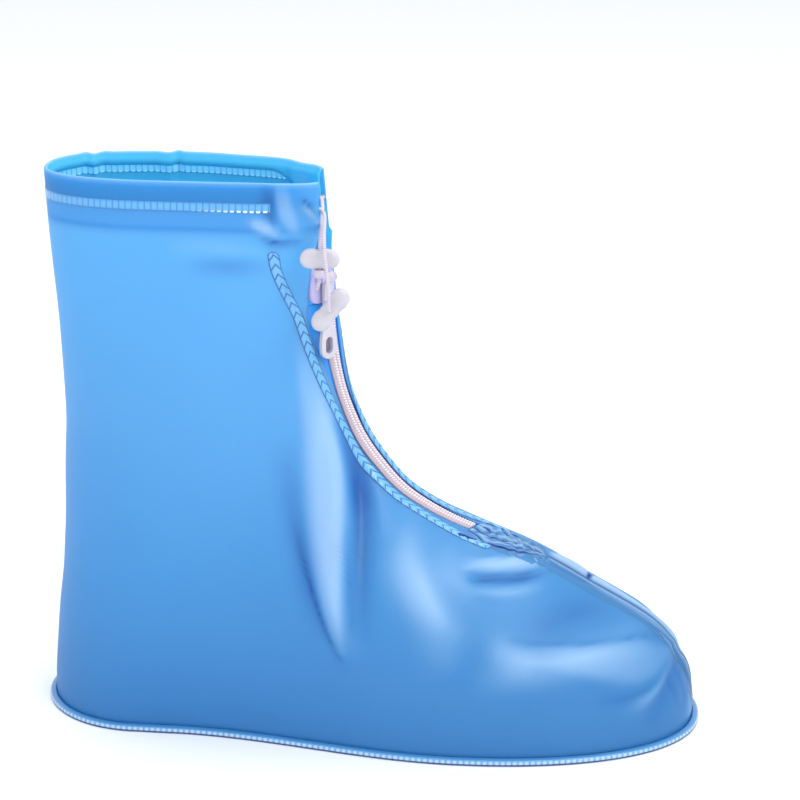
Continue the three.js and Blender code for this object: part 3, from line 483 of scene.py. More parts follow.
def turnsAt(level, parts):
    # columns from the far edge of the zip slit round the heel to its near edge; only those near the front step aside
    level = np.asarray(level, float)[:, None]
    s = sectionAt(level)
    opened = halfWidth * smoothStep(level, upperFilm["slitFrom"], upperFilm["slitFull"])
    middle = zipTurn(level, 0 * level)
    farAside = zipTurn(level, s["farGap"] * opened) - middle
    nearAside = zipTurn(level, -s["nearGap"] * opened) - middle
    p = np.asarray(parts, float)[None]
    eased = p + upperFilm["crowding"] * np.sin(4 * np.pi * p) / (4 * np.pi)
    farFade = np.maximum(1 - upperFilm["slitReach"] * p, 0) ** 2
    nearFade = np.maximum(1 - upperFilm["slitReach"] * (1 - p), 0) ** 2
    return middle + 2 * np.pi * eased + farAside * farFade + nearAside * nearFade


def columnParts(count):
    # evenly from 0 to 1, then crowded towards the zip side: p + b (1 - cos 2 pi p) / 2 pi
    p = np.linspace(0, 1, count)
    return p + upperFilm["nearCrowding"] * (1 - np.cos(2 * np.pi * p)) / (2 * np.pi)


def toFront(turn):
    # 1 at the front edges of the hem, easing to 0 behind them
    s = sectionAt(np.ones_like(turn))
    front = s["frontX"] + np.where(np.sin(turn) < 0, s["nearReach"], 0)
    distance = halfLength * front - smoothPoint(turn, np.ones_like(turn))[..., 0]
    return 1 - smoothStep(distance, hemSizes["frontGap"] * 0.3, hemSizes["frontGap"] * 1.4)


def rimShift(places):
    # the rim's small crimps: each moves the film out by push * exp(-((x - place) / width)^2), less towards the
    # hem's foot
    x, z = places[..., 0], places[..., 2]
    side = np.where(places[..., 1] < 0, -1, 1)
    push = np.zeros(x.shape)
    for which, at, width, amount in rimRows:
        push += np.where(side == which, amount, 0) * np.exp(-((x - at) / width) ** 2)
    fade = smoothStep(z, 222, 247)
    moved = places.copy()
    moved[..., 1] += side * push * fade
    moved[..., 2] += 0.35 * push * fade
    return moved


def addUpperFilm():
    # each row is a level and a depth for the outer face and for the inner one. The roll is a half circle of radius
    # rimRoll, and inside it the film bulges round the cord's tunnel and then rests a seat's depth behind the front
    u, h = upperFilm, hemSizes
    parts = columnParts(u["columns"])
    foot = np.linspace(0, u["slitFrom"], u["footRows"])
    leg = np.linspace(u["slitFrom"], levelOf(cover["height"] - u["rimRoll"]), u["legRows"] + 1)[1:]
    levels = np.concatenate([foot, leg])
    front = toFront(turnsAt([1.0], parts))
    rows = [(level, 0, level, u["wall"]) for level in levels]
    radius = u["rimRoll"]
    thin = radius - u["wall"]
    for angle in np.linspace(0, math.pi, u["rollRows"] + 2)[1:]:
        rise, back = math.sin(angle), math.cos(angle)
        rows.append((levelOf(cover["height"] - (radius - radius * rise)), radius - radius * back,
                     levelOf(cover["height"] - (radius - thin * rise)), radius - thin * back))
    pocket = h["tunnelDepth"] + (h["frontDepth"] - h["tunnelDepth"]) * front
    for drop in np.linspace(radius, h["depth"], u["insideRows"] + 1)[1:]:
        bulge = smoothStep(drop, radius, radius + 3) * (1 - smoothStep(drop, pocket - 0.5, pocket + 1.7))
        rest = 2 * radius + (h["seat"] - 2 * radius) * smoothStep(drop, radius, pocket)
        depth = rest + (h["tunnel"] - rest) * bulge
        level = levelOf(cover["height"] - drop)
        rows.append((level, depth, level, depth - u["wall"]))
    outer, inner, tone = [], [], []
    for level, depth, inLevel, inDepth in rows:
        turn = turnsAt([level], parts)
        place, outward, lift = filmFrame(turn, level)
        outer.append((place + outward * (lift - depth)[..., None])[0])
        inner.append(filmPoint(turn, inLevel, inDepth)[0])
        # painted highlight and painted shade: fold crests are paler and creases deeper, in proportion to the fold
        # heights
        broad, gathered = broadFolds(place), crumple(place)
        fine = lift - broad - gathered - toeRidge(place)
        # the crumples' waves add painted highlight and painted shade
        tone.append((broad / u["broadTone"] + fine / u["fineTone"] + u["crumplePaintedShading"] * gathered
                     + toePaintedHighlight(place))[0])
    outer, inner, tone = np.array(outer), np.array(inner), np.array(tone)
    outer, inner = rimShift(outer), rimShift(inner)
    inner[0, :, 2] = cover["base"] - cover["filmWall"]
    closed = np.linalg.norm(outer[:, 0] - outer[:, -1], axis=1) < 1e-3
    faces = slabFaces(len(rows), u["columns"], closed)
    rowLevels = np.array([row[0] for row in rows])[:, None] + np.zeros((1, u["columns"]))
    drop = (1 - rowLevels) * (cover["height"] - cover["base"])
    belowLadder = smoothStep(drop, h["ladderTop"], h["ladderFoot"])
    nearFoot = np.exp(-((drop - h["depth"] + 1.6) / 1.1) ** 2)
    doubled = 1 - h["paleBelow"] * belowLadder + h["footLine"] * nearFoot
    doubled *= (1 - smoothStep(drop, h["depth"] - 1.2, h["depth"])) * (1 - h["frontPale"] * front)
    # a painted highlight along the rim's roll
    tone += u["rimPaintedHighlight"] * np.exp(-(drop / u["rimPaintedHighlightDrop"]) ** 2)
    paintedHighlight, paintedShade = np.clip(tone, 0, 1), np.clip(-tone, 0, 1)
    # the inner faces, marked here, are painted paler cyan as painted light coming through the film
    facesIn = np.zeros_like(drop)
    facesIn[len(levels) + u["rollRows"] // 2:] = 1
    film = makePiece("upperFilm", [outer, inner], faces, ("upper_shell", "hem"),
                     dict(doubled=[doubled, doubled], inside=[facesIn, np.ones_like(drop)],
                          paintedHighlight=[paintedHighlight, paintedHighlight], paintedShade=[paintedShade, paintedShade]))
    wide = np.linalg.norm(np.diff(outer, axis=1)[:-1], axis=-1)
    tall = np.linalg.norm(np.diff(outer, axis=0)[:, :-1], axis=-1)
    print("upper film", len(film.data.polygons), "faces", round(float((wide * tall).sum()) / 1e6, 4), "square metres")
    return film


upper = addUpperFilm()


def footprintPoint(turn, out, height):
    # the sole's outline moved out square to itself by a distance, at a height
    step = 0.004
    zero = np.zeros_like(turn)
    along = smoothPoint(turn + step, zero) - smoothPoint(turn - step, zero)
    along /= np.linalg.norm(along, axis=-1, keepdims=True)
    place = smoothPoint(turn, zero)
    return np.stack([place[..., 0] + along[..., 1] * out, place[..., 1] - along[..., 0] * out, height + zero], -1)


# the pressed edge round the sole: film on top, a row of light dashes on the lip, a dark line at the floor
soleEdge = dict(outside=3.0, pitch=2.6, columns=1800, dash=0.22)


def addSoleEdge():
    # a closed band: a rounded lip whose dashes swell by dash * |sin(pi s / pitch)|^0.4
    e = soleEdge
    dense = np.linspace(0, 2 * np.pi, 4000)
    line = footprintPoint(dense, e["outside"], 0)
    run = runAlong(line)
    s = np.linspace(0, run[-1], e["columns"], endpoint=False)
    turn = np.interp(s, run, dense)
    pitch = run[-1] / round(run[-1] / e["pitch"])
    swell = np.abs(np.sin(np.pi * s / pitch)) ** 0.4
    # each point of the section: out, up, how much it swells, how much is film and how much is dash
    section = np.array([(0.1, 0.05, 0, 0, 0), (2.5, 0.05, 0, 0, 0), (2.9, 0.25, 0, 0, 0), (2.95, 0.7, 0, 0, 0),
                        (2.82, 0.85, 0, 0.3, 0.2), (2.98, 1.05, 1, 1, 1), (3.0, 1.6, 1, 1, 1), (2.85, 2.1, 1, 1, 1),
                        (2.6, 2.4, 0.3, 1, 0.2), (2.1, 2.72, 0, 1, 0), (1.2, 2.9, 0, 1, 0), (0.6, 3.0, 0, 1, 0),
                        (0.1, 2.7, 0, 1, 0)])
    lift = (swell - 0.5) * e["dash"]
    places = np.array([footprintPoint(turn, out + lift * puff, up) for out, up, puff in section[:, :3]])
    rows, columns = len(section), e["columns"]
    r, c = np.meshgrid(np.arange(rows), np.arange(columns), indexing="ij")
    n, above = (c + 1) % columns, (r + 1) % rows
    faces = np.stack([r * columns + c, r * columns + n, above * columns + n, above * columns + c], -1).reshape(-1, 4)
    return makePiece("soleEdgeWeld", places, faces.tolist(), ("sole_edge_weld",),
                     dict(pressed=np.repeat(section[:, 3], columns),
                          stitch=np.repeat(section[:, 4], columns) * np.tile(swell ** 2, rows)))


soleEdgeWeld = addSoleEdge()


def stripOnFilm(name, level, across, top, bottom, nodes=(), attributes=None):
    # a slab on the film between two depths; each row has a level, and across is the distance from the zip
    levels = level[:, None] + 0 * across
    place, outward, lift = filmFrame(zipTurn(levels, across), levels)
    outer = place + outward * (lift - top)[..., None]
    inner = place + outward * (lift - bottom)[..., None]
    return makePiece(name, [outer, inner], slabFaces(*across.shape), nodes,
                     {key: [value, value] for key, value in (attributes or {}).items()})


def thinEdges(height, least):
    # a strip's relief brought down to one height along its four edges
    height[0], height[-1], height[:, 0], height[:, -1] = least, least, least, least
    return height


def levelRun(low, high, count):
    # levels spaced evenly along the zip line, with the length run in millimetres
    dense = np.linspace(low, high, 900)
    line = smoothPoint(zipTurn(dense, 0 * dense), dense)
    run = runAlong(line)
    s = np.linspace(0, run[-1], count)
    return np.interp(s, run, dense), s


# chevron weld: a pressed capsule outline with V shaped ribs along it
chevronWeld = dict(width=5.0, pitch=4.6, topHeight=220, fromLevel=0.325, rise=0.34, line=0.5, edge=0.5, slope=1.25)


def addChevronWeld(key, side):
    # ribs stand where the run plus slope * |across| passes a pitch; the outline is the edge of a capsule
    w = chevronWeld
    level, s = levelRun(w["fromLevel"], levelOf(w["topHeight"]), 700)
    half = w["width"] / 2
    v = np.linspace(-1, 1, 21)
    nearTop = 1 - np.clip((s[-1] - s) / half, 0, 1)
    nearFoot = 1 - np.clip(s / half, 0, 1)
    narrow = np.sqrt(np.clip(1 - nearTop ** 2, 0.02, 1) * np.clip(1 - nearFoot ** 2, 0.02, 1))
    beside = v[None] * (half * narrow)[:, None]
    middle = side * sectionAt(level)["bandShift"] * halfWidth
    turn, step = zipTurn(level, middle), 0.004
    slope = smoothPoint(turn + step, level) - smoothPoint(turn - step, level)
    across = middle[:, None] + beside * (np.abs(slope[:, 1]) / np.linalg.norm(slope, axis=-1))[:, None]
    cell = (s[:, None] + w["slope"] * np.abs(beside)) / w["pitch"]
    cell = cell - np.floor(cell)
    groove = np.exp(-((cell - 0.5) * w["pitch"] / w["line"]) ** 2)
    rim = np.minimum((1 - np.abs(v[None])) * half, np.minimum(s, s[-1] - s)[:, None])
    edge = np.exp(-(rim / w["edge"]) ** 2)
    dark = np.maximum(groove, edge)
    height = thinEdges(0.12 + w["rise"] * (1 - dark) * (0.55 + 0.45 * cell), 0.02)
    return stripOnFilm("chevronWeld" + key, level, across, -height, -0.02, ("chevron_weld_" + key.lower(),),
                       dict(pressed=1 - dark))


chevrons = [addChevronWeld("Near", -1), addChevronWeld("Far", 1)]


# ladder weld: cells of one pitch round the hem, with a dashed lower edge, on both faces of the film
ladder = dict(drop=10.5, insideDrop=7.4, width=4.0, pitch=2.75, columns=1400, rows=9, rise=0.2, frontGap=19)


def addLadderWeld(name, drop, depth, sign, nodes=()):
    # each cell is a low pillow: 1 - |2 u - 1|^6 along times 1 - |v|^4 across
    w = ladder
    columns = w["columns"]
    levels = levelOf(cover["height"] - drop + np.linspace(-0.5, 0.5, w["rows"]) * w["width"])
    middle = levels[w["rows"] // 2]
    parts = np.linspace(0.0, 1, 3000)
    turn = turnsAt([middle], parts)[0]
    line = smoothPoint(turn, middle + 0 * turn)
    keep = line[:, 0] < halfLength * sectionAt(middle)["frontX"] - w["frontGap"]
    turn, line = turn[keep], line[keep]
    run = runAlong(line)
    s = np.linspace(0, run[-1], columns)
    turns = np.interp(s, run, turn)
    u = s / w["pitch"] - np.floor(s / w["pitch"])
    v = np.linspace(-1, 1, w["rows"])[:, None]
    cell = (1 - np.abs(2 * u - 1) ** 6) * (1 - np.abs(v) ** 4)
    # the dashes' pale colour is a painted glint: on the outside it fades in only towards the front, on the inside it
    # is nearly everywhere
    stitch = (np.abs(v + 0.86) < 0.2) * (np.abs(2 * u - 1) < 0.62)
    paintedGlintFade = smoothStep(np.interp(s, run, line[:, 0]), -75, -45) if sign > 0 else 0.9 + 0 * s
    height = 0.05 + w["rise"] * np.maximum(cell, 0.9 * stitch)
    height[:, 0] = height[:, -1] = 0.02
    grid = np.broadcast_to(turns, (w["rows"], columns))
    place, outward, lift = filmFrame(grid, levels[:, None] + 0 * grid)
    top = place + outward * (lift - depth + sign * height)[..., None]
    foot = place + outward * (lift - depth - sign * 0.05)[..., None]
    top, foot = rimShift(top), rimShift(foot)
    grids = [top, foot] if sign > 0 else [foot, top]
    return makePiece(name, grids, slabFaces(w["rows"], columns), nodes,
                     dict(pressed=[cell, cell], stitch=[stitch * paintedGlintFade, stitch * paintedGlintFade]))


ladders = [addLadderWeld("ladderWeldOutside", ladder["drop"], 0, 1, ("hem_ladder_weld",)),
           addLadderWeld("ladderWeldInside", ladder["insideDrop"], hemSizes["seat"] + 0.02, -1)]


# the zip's two film tapes and its coil
zipSizes = dict(bottomLevel=0.35, topHeight=192.4, coilWidth=5.5, coilDepth=1.5, toothPitch=1.25, tapeDepth=1.05,
                tapeSag=0.35, tapeWall=0.5, underFilm=3.8)


def addTape(key, side):
    # a plain strip from the coil's edge to a little under the film's edge
    z = zipSizes
    level = levelRun(z["bottomLevel"], levelOf(z["topHeight"]), 120)[0]
    table = sectionAt(level)
    inside = z["coilWidth"] / 2 - 0.1
    outside = (table["nearGap"] if side < 0 else table["farGap"]) * halfWidth + z["underFilm"]
    v = np.linspace(0, 1, 14)[None]
    across = inside + (outside[:, None] - inside) * v
    if side < 0:
        across = -across[:, ::-1]
    dip = z["tapeDepth"] + z["tapeSag"] * np.sin(np.pi * v)
    return stripOnFilm("zipTape" + key, level, across, dip, dip + z["tapeWall"], ("zip_tape_" + key.lower(),))


tapes = [addTape("Near", -1), addTape("Far", 1)]


def addCoil():
    # two rows of teeth, half a pitch apart: |sin|^0.7 humps along, each row a rounded back across
    z = zipSizes
    level, s = levelRun(z["bottomLevel"] + 0.004, levelOf(z["topHeight"]), 860)
    v = np.linspace(-1, 1, 19)[None]
    half = z["coilWidth"] / 2
    across = v * half + 0 * s[:, None]
    phase = s[:, None] / z["toothPitch"] + np.where(v < 0, 0.0, 0.5) + 0.35 * np.abs(v)
    tooth = np.abs(np.sin(np.pi * phase)) ** 0.7
    row = np.exp(-((np.abs(v) - 0.33) / 0.24) ** 4)
    edge = smoothStep(np.abs(v), 0.72, 0.8)
    height = -0.15 + (0.55 + 0.75 * tooth) * row + 0.25 * edge * (1 - smoothStep(np.abs(v), 0.93, 1.0))
    height[0], height[-1] = -0.9, -0.9
    return stripOnFilm("zipCoil", level, across, -height, z["coilDepth"], ("zip_coil",),
                       # the tooth attribute paints the gaps between the teeth deeper, as painted shade
                       dict(tooth=tooth * row))


zipCoil = addCoil()


# toe seam: a strip of film pinched to a line, with a flat facet on either side that narrows at the toe
toeSeamSizes = dict(nearReach=8.5, farReach=8.5, fromLevel=0.03, toLevel=0.31, rows=300, columns=71, pinch=98,
                    gather=137, depth=0.3, least=0.04, lineRise=0.75, farRise=0.95, nearRise=0.75)


def tent(value, middle, half):
    return np.clip(1 - np.abs(value - middle) / half, 0, 1)


def stripGrid(sizes):
    # the levels of a strip's rows, each place's distance across from the zip line, and each row's own x
    level, s = levelRun(sizes["fromLevel"], sizes["toLevel"], sizes["rows"])
    across = np.linspace(-sizes["nearReach"], sizes["farReach"], sizes["columns"])[None] + 0 * s[:, None]
    return level, across, smoothPoint(zipTurn(level, 0 * level), level)[:, :1]


def addToeSeam():
    # heights are tents across the strip: the pinched line, then a facet's crest to each side of it
    t = toeSeamSizes
    level, across, x = stripGrid(t)
    narrow = 1 - 0.6 * np.exp(-((x - t["gather"]) / 9) ** 2)
    beside = across / narrow
    along = smoothStep(x, 77, 84) * (1 - smoothStep(x, 144, 148))
    pinched = np.exp(-((x - t["pinch"]) / 0.9) ** 2)
    line = tent(beside, 0, 0.7)
    far, near = tent(beside, 4.0, 3.0) * (1 - pinched), tent(beside, -3.2, 2.4) * smoothStep(x, 96, 104)
    fade = 1 - smoothStep(np.abs(across), t["farReach"] - 1.6, t["farReach"])
    height = t["least"] + along * fade * (t["lineRise"] * line + t["farRise"] * far + t["nearRise"] * near)
    height = thinEdges(height, 0)
    # painted glints: white beside the pinched line and on the facets; painted shade: dark along the line and across
    # the pinch
    white = np.maximum(tent(beside, -0.6, 0.5), 0.45 * tent(beside, -2.4, 2.2) * smoothStep(x, 98, 106))
    white = np.maximum(white, np.clip(1.4 * tent(beside, 2.8, 2.4), 0, 0.9) * (1 - pinched))
    dark = tent(beside, 0.35, 0.55)
    dark = np.maximum(dark, 0.7 * tent(beside, 2.5, 3) * pinched)
    return stripOnFilm("toeSeam", level, across, -height, t["depth"], ("toe_seam",),
                       dict(paintedHighlight=along * fade * white * (1 - dark), paintedShade=1.6 * along * fade * dark))


toeSeam = addToeSeam()


# gathered film past the zip's lower end
puckerSizes = dict(nearReach=10.5, farReach=7.5, fromLevel=0.296, toLevel=0.352, rows=190, columns=86, rise=1.5,
                   depth=0.3, least=0.04)


def addPucker():
    # folds of the kind |sin p| in three crossing directions, sharp at the bottom of each and gathered towards the
    # toe; painted shade along their bottoms and the strip's rim, painted highlights on their slopes
    p = puckerSizes
    level, across, x = stripGrid(p)
    ends = smoothStep(x, 42, 50) * (1 - smoothStep(x, 76, 82))
    drawnIn = 0.35 + 0.65 * (1 - smoothStep(x, 58, 80))
    beside = (across + 1.5) / drawnIn
    fade = ends * np.clip(1 - (np.abs(beside) / 9) ** 4, 0, 1) * smoothStep(across + p["nearReach"], 0, 2)
    fade = fade * smoothStep(p["farReach"] - across, 0, 2)
    one = np.abs(np.sin(0.11 * x + 0.5 * beside + 0.6 * np.sin(0.22 * x)))
    two = np.abs(np.sin(0.16 * x - 0.36 * beside + 0.8 + 0.5 * np.sin(0.45 * beside)))
    three = np.abs(np.sin(0.3 * beside + 0.5 * np.sin(0.25 * x) + 0.2))
    fold = np.minimum(np.minimum(one, two + 0.12), three + 0.05)
    height = thinEdges(p["least"] + p["rise"] * fade * fold ** 0.8, 0)
    crease = np.exp(-(fold / 0.11) ** 2) * fade
    crease = np.maximum(crease, ends * np.exp(-((np.abs(beside) - 7.6) / 0.5) ** 2))
    slope = np.gradient(height, axis=1) / np.gradient(across, axis=1)
    pale = np.clip(0.5 * slope + tent(fold, 0.5, 0.16), 0, 1) * fade * (1 - crease)
    return stripOnFilm("zipEndPucker", level, across, -height, p["depth"],
                       attributes=dict(paintedHighlight=pale, paintedShade=1.5 * crease))


zipEndPucker = addPucker()


hemCord = dict(steps=240, drop=4.4, frontDrop=12.5, depth=1.35)


def addDrawcord():
    # the cord that lies in the hem all the way round, at the depth of the tunnel's middle
    c = hemCord
    parts = columnParts(c["steps"])
    front = toFront(turnsAt([1.0], parts))[0]
    levels = levelOf(cover["height"] - (c["drop"] + (c["frontDrop"] - c["drop"]) * front))
    turn = np.array([turnsAt([v], parts)[0, k] for k, v in enumerate(levels)])
    line = rimShift(filmPoint(turn, levels, c["depth"]))
    piece, length = addCord("hemDrawcord", line, "drawcord")
    print("drawcord in the hem", round(length * 1000), "mm")
    return piece


drawcord = addDrawcord()


# moulded pieces: the CAD's own solids, merged, with their edges rounded
mouldedPieces = dict(
    zipSlider=dict(node="zip_slider", slot="slider", body="cover", edge=0.0018, steps=5),
    zipPull=dict(node="zip_pull", slot="plastic", body="pull", edge=0.0005, steps=3),
    cordKnot=dict(node="cord_knot", slot="cord", body="cover", edge=0.0004, steps=2))


def addMoulded(name, p):
    # the solid's vertices merged and its flat faces joined, then each edge sharper than 38 degrees is bevelled
    flat = math.radians(1.5)
    mesh = bpy.data.meshes.new(name)
    reworkMesh(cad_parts[p["node"]].data, mesh,
               lambda work: bmesh.ops.remove_doubles(work, verts=work.verts, dist=2e-6),
               lambda work: bmesh.ops.dissolve_limit(work, angle_limit=flat, verts=work.verts, edges=work.edges))
    mesh.polygons.foreach_set("use_smooth", [True] * len(mesh.polygons))
    piece = addObject(name, mesh)
    bevel = piece.modifiers.new("roundEdges", "BEVEL")
    bevel.width, bevel.segments = p["edge"], p["steps"]
    bevel.limit_method, bevel.angle_limit = "ANGLE", math.radians(38)
    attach(piece, p["body"])
    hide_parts(p["node"])
    return piece


moulded = {name: addMoulded(name, p) for name, p in mouldedPieces.items()}


# bow shaped toggles: two round lobes joined by a waist, flattened front to back
toggles = dict(
    cordToggleUpper=dict(node="cord_toggle_upper", centre=(-16.7, -30.4, 217.6), span=16.8, turn=0),
    cordToggleLower=dict(node="cord_toggle_lower", centre=(-12.0, -33.4, 196.6), span=21.6, turn=52))
toggleShape = dict(lobe=8.4, waist=7.6, thick=5.4, rows=72, around=40)


def addToggle(name, t):
    # half height h = (circle^5 + waist^5)^(1/5), half thickness goes with h^0.55, and each section is a superellipse
    g = toggleShape
    radius, half = g["lobe"] / 2, t["span"] / 2
    reach = half - radius
    u = half * np.sin(np.linspace(-np.pi / 2, np.pi / 2, g["rows"]))
    circle = np.sqrt(np.maximum(radius ** 2 - (np.abs(u) - reach) ** 2, 0))
    waist = g["waist"] / 2 * smoothStep(reach - np.abs(u), -1.5, 1.5)
    h = (circle ** 5 + waist ** 5) ** 0.2
    thick = g["thick"] / 2 * (h / radius) ** 0.55
    angle = np.linspace(0, 2 * np.pi, g["around"], endpoint=False)
    power = 2 / 2.5
    up = np.sign(np.sin(angle)) * np.abs(np.sin(angle)) ** power
    out = np.sign(np.cos(angle)) * np.abs(np.cos(angle)) ** power
    x = u[:, None] + 0 * angle[None]
    z = h[:, None] * up[None]
    y = thick[:, None] * out[None]
    sine, cosine = math.sin(math.radians(t["turn"])), math.cos(math.radians(t["turn"]))
    places = np.stack([x * cosine - z * sine, y, x * sine + z * cosine], -1) + np.array(t["centre"])
    faces = tubeFaces(g["rows"], g["around"])[:, ::-1].tolist()
    piece = makePiece(name, places, faces, (t["node"],), merge=2e-5)
    reworkMesh(piece.data, piece.data,
               lambda work: bmesh.ops.dissolve_degenerate(work, edges=work.edges, dist=1e-6),
               lambda work: bmesh.ops.recalc_face_normals(work, faces=work.faces))
    return piece


togglePieces = {name: addToggle(name, t) for name, t in toggles.items()}
print("pieces made")


# materials
def startMaterial(name):
    material = bpy.data.materials.new(name)
    material.use_nodes = True
    material.node_tree.nodes.clear()
    return material, material.node_tree


def finishMaterial(material, surface):
    addNode(material.node_tree, "OutputMaterial", links=dict(Surface=surface.outputs[0]))
    return material


def finishSkin(material, tree, colour, relief, strength, distance, values):
    # one glossy or matt skin of a colour, with the relief as its bump
    bump = addNode(tree, "Bump", values=dict(Strength=strength, Distance=distance), links=dict(Height=relief))
    links = {"Base Color": colour, "Normal": bump.outputs[0]}
    return finishMaterial(material, addNode(tree, "BsdfPrincipled", values=values, links=links))


def mixOf(low, high):
    # the two colours of a colour mix node, at its sockets 6 and 7
    return {6: toLinear(low), 7: toLinear(high)}


# the colours from bottom to high are painted shade by height; then come the deeper doubled film, the painted light of
# the inner face, the painted highlight and the painted shade, each with its glow
filmLook = dict(bottom="#4C84AA", low="#60A5CE", middle="#7ABCE0", high="#7CC6EE", paintedHighlight="#C4E6FA",
                paintedShade="#2F76BE", doubled="#459FDA", inside="#6AE4FF", glow="#8AD0FA", doubledGlow="#86CCF8",
                insideGlow="#A6F0FF", paintedHighlightGlow="#C2E4FF", paintedShadeGlow="#4A92DC", through=0.5, roughness=0.32)


def softPvcFilm(name, look):
    # calendered soft PVC film, heat formed: milky blue that light comes through, with a soft satin gloss. Painted
    # shade makes it deeper towards the bottom, painted highlights pale its fold crests and painted shade deepens its
    # creases; it is deeper where it is doubled, and its inner face is painted paler as painted light from above
    material, tree = startMaterial(name)
    coords = addNode(tree, "TexCoord").outputs["Object"]
    split = addNode(tree, "SeparateXYZ", links=dict(Vector=coords))
    cloud = addNode(tree, "TexNoise", values=dict(Scale=14.0, Detail=2.0), links=dict(Vector=coords)).outputs["Fac"]
    # painted shade by height: the ramp runs deeper towards the bottom and paler towards the top, as if lit from
    # above, with a little noise
    wander = addNode(tree, "Math", dict(operation="MULTIPLY_ADD"), {1: 0.03}, {0: cloud, 2: split.outputs["Z"]})
    height = addNode(tree, "MapRange", values={"From Min": 0.015, "From Max": 0.265},
                     links=dict(Value=wander.outputs[0]))
    ramp = addNode(tree, "ValToRGB", links=dict(Fac=height.outputs[0]))
    stops = [(0.0, "bottom"), (0.3, "low"), (0.62, "middle"), (1.0, "high")]
    while len(ramp.color_ramp.elements) < len(stops):
        ramp.color_ramp.elements.new(0.5)
    for element, (at, key) in zip(ramp.color_ramp.elements, stops):
        element.position, element.color = at, toLinear(look[key])
    colour, tint = ramp.outputs["Color"], None
    # the deeper doubled film, the painted light of the inner face, the painted highlight and the painted shade are
    # mixed over the colour and the glow
    for key in ("doubled", "inside", "paintedHighlight", "paintedShade"):
        amount = addNode(tree, "Attribute", dict(attribute_name=key)).outputs["Fac"]
        mix = addNode(tree, "Mix", dict(data_type="RGBA"), {7: toLinear(look[key])}, {"Factor": amount, 6: colour})
        tinted = addNode(tree, "Mix", dict(data_type="RGBA"), mixOf(look["glow"], look[key + "Glow"]),
                         dict(Factor=amount))
        if tint:
            tree.links.new(tint, tinted.inputs[6])
        colour, tint = mix.outputs[2], tinted.outputs[2]
    grain = addNode(tree, "TexNoise", values=dict(Scale=900.0, Detail=1.0), links=dict(Vector=coords))
    bump = addNode(tree, "Bump", values=dict(Strength=0.05, Distance=0.0002), links=dict(Height=grain.outputs["Fac"]))
    gloss = addNode(tree, "MapRange", values={"To Min": look["roughness"] - 0.04, "To Max": look["roughness"] + 0.08},
                    links=dict(Value=cloud))
    skin = addNode(tree, "BsdfPrincipled",
                   values={"IOR": 1.53, "Specular IOR Level": 0.4, "Transmission Weight": 0.15},
                   links={"Base Color": colour, "Roughness": gloss.outputs[0], "Normal": bump.outputs[0]})
    glow = addNode(tree, "BsdfTranslucent", links=dict(Color=tint))
    both = addNode(tree, "MixShader", values={0: look["through"]}, links={1: skin.outputs[0], 2: glow.outputs[0]})
    return finishMaterial(material, both)


def pressedWeld(name, face, line, stitchColour="#E8F4FF"):
    # film pressed together under a hot tool: the pressed cells are pale and glossy, the lines between them dark. The
    # stitch colour goes on the dashes; on the ladder weld it is a painted glint
    material, tree = startMaterial(name)
    pressed = addNode(tree, "Attribute", dict(attribute_name="pressed")).outputs["Fac"]
    stitch = addNode(tree, "Attribute", dict(attribute_name="stitch")).outputs["Fac"]
    cell = addNode(tree, "Mix", dict(data_type="RGBA"), mixOf(line, face), dict(Factor=pressed))
    top = addNode(tree, "Mix", dict(data_type="RGBA"), {7: toLinear(stitchColour)},
                  {"Factor": stitch, 6: cell.outputs[2]})
    coords = addNode(tree, "TexCoord").outputs["Object"]
    grain = addNode(tree, "TexNoise", values=dict(Scale=700.0, Detail=2.0), links=dict(Vector=coords))
    return finishSkin(material, tree, top.outputs[2], grain.outputs["Fac"], 0.12, 0.0003,
                      {"IOR": 1.53, "Roughness": 0.2, "Coat Weight": 0.4})


def plainPlastic(name, colour, deep, roughness, grainScale, grainDepth, through=0.0, attribute=None):
    # moulded or calendered plastic: nearly even colour, a faint flow mottle and a soft gloss; given an attribute, the
    # colour follows that instead, which on the coil is painted shade between its teeth
    material, tree = startMaterial(name)
    coords = addNode(tree, "TexCoord").outputs["Object"]
    mottle = addNode(tree, "TexNoise", values=dict(Scale=grainScale, Detail=3.0), links=dict(Vector=coords))
    source = addNode(tree, "Attribute", dict(attribute_name=attribute)) if attribute else mottle
    mix = addNode(tree, "Mix", dict(data_type="RGBA"), mixOf(deep, colour), dict(Factor=source.outputs["Fac"]))
    return finishSkin(material, tree, mix.outputs[2], mottle.outputs["Fac"], 0.15, grainDepth,
                      {"IOR": 1.48, "Roughness": roughness, "Subsurface Weight": through, "Subsurface Scale": 0.002})


def braidedCord():
    # elastic cord braided from polyester yarn: V shaped yarns 0.7 mm apart, soft and matt
    material, tree = startMaterial("elasticCordBraided")
    uv = addNode(tree, "UVMap", dict(uv_map="weave"))
    split = addNode(tree, "SeparateXYZ", links=dict(Vector=uv.outputs[0]))
    slant = addNode(tree, "Math", dict(operation="MULTIPLY_ADD"), {1: 0.0016},
                    {0: split.outputs["X"], 2: split.outputs["Y"]})
    yarn = addNode(tree, "Math", dict(operation="MULTIPLY"), {1: 2 * math.pi / 0.0007}, {0: slant.outputs[0]})
    wave = addNode(tree, "Math", dict(operation="SINE"), links={0: yarn.outputs[0]})
    shade = addNode(tree, "MapRange", values={"From Min": -1.0}, links=dict(Value=wave.outputs[0])).outputs[0]
    mix = addNode(tree, "Mix", dict(data_type="RGBA"), mixOf("#B3A6BA", "#DCD3E0"), dict(Factor=shade))
    return finishSkin(material, tree, mix.outputs[2], shade, 0.5, 0.0002,
                      {"IOR": 1.5, "Roughness": 0.7, "Sheen Weight": 0.2})


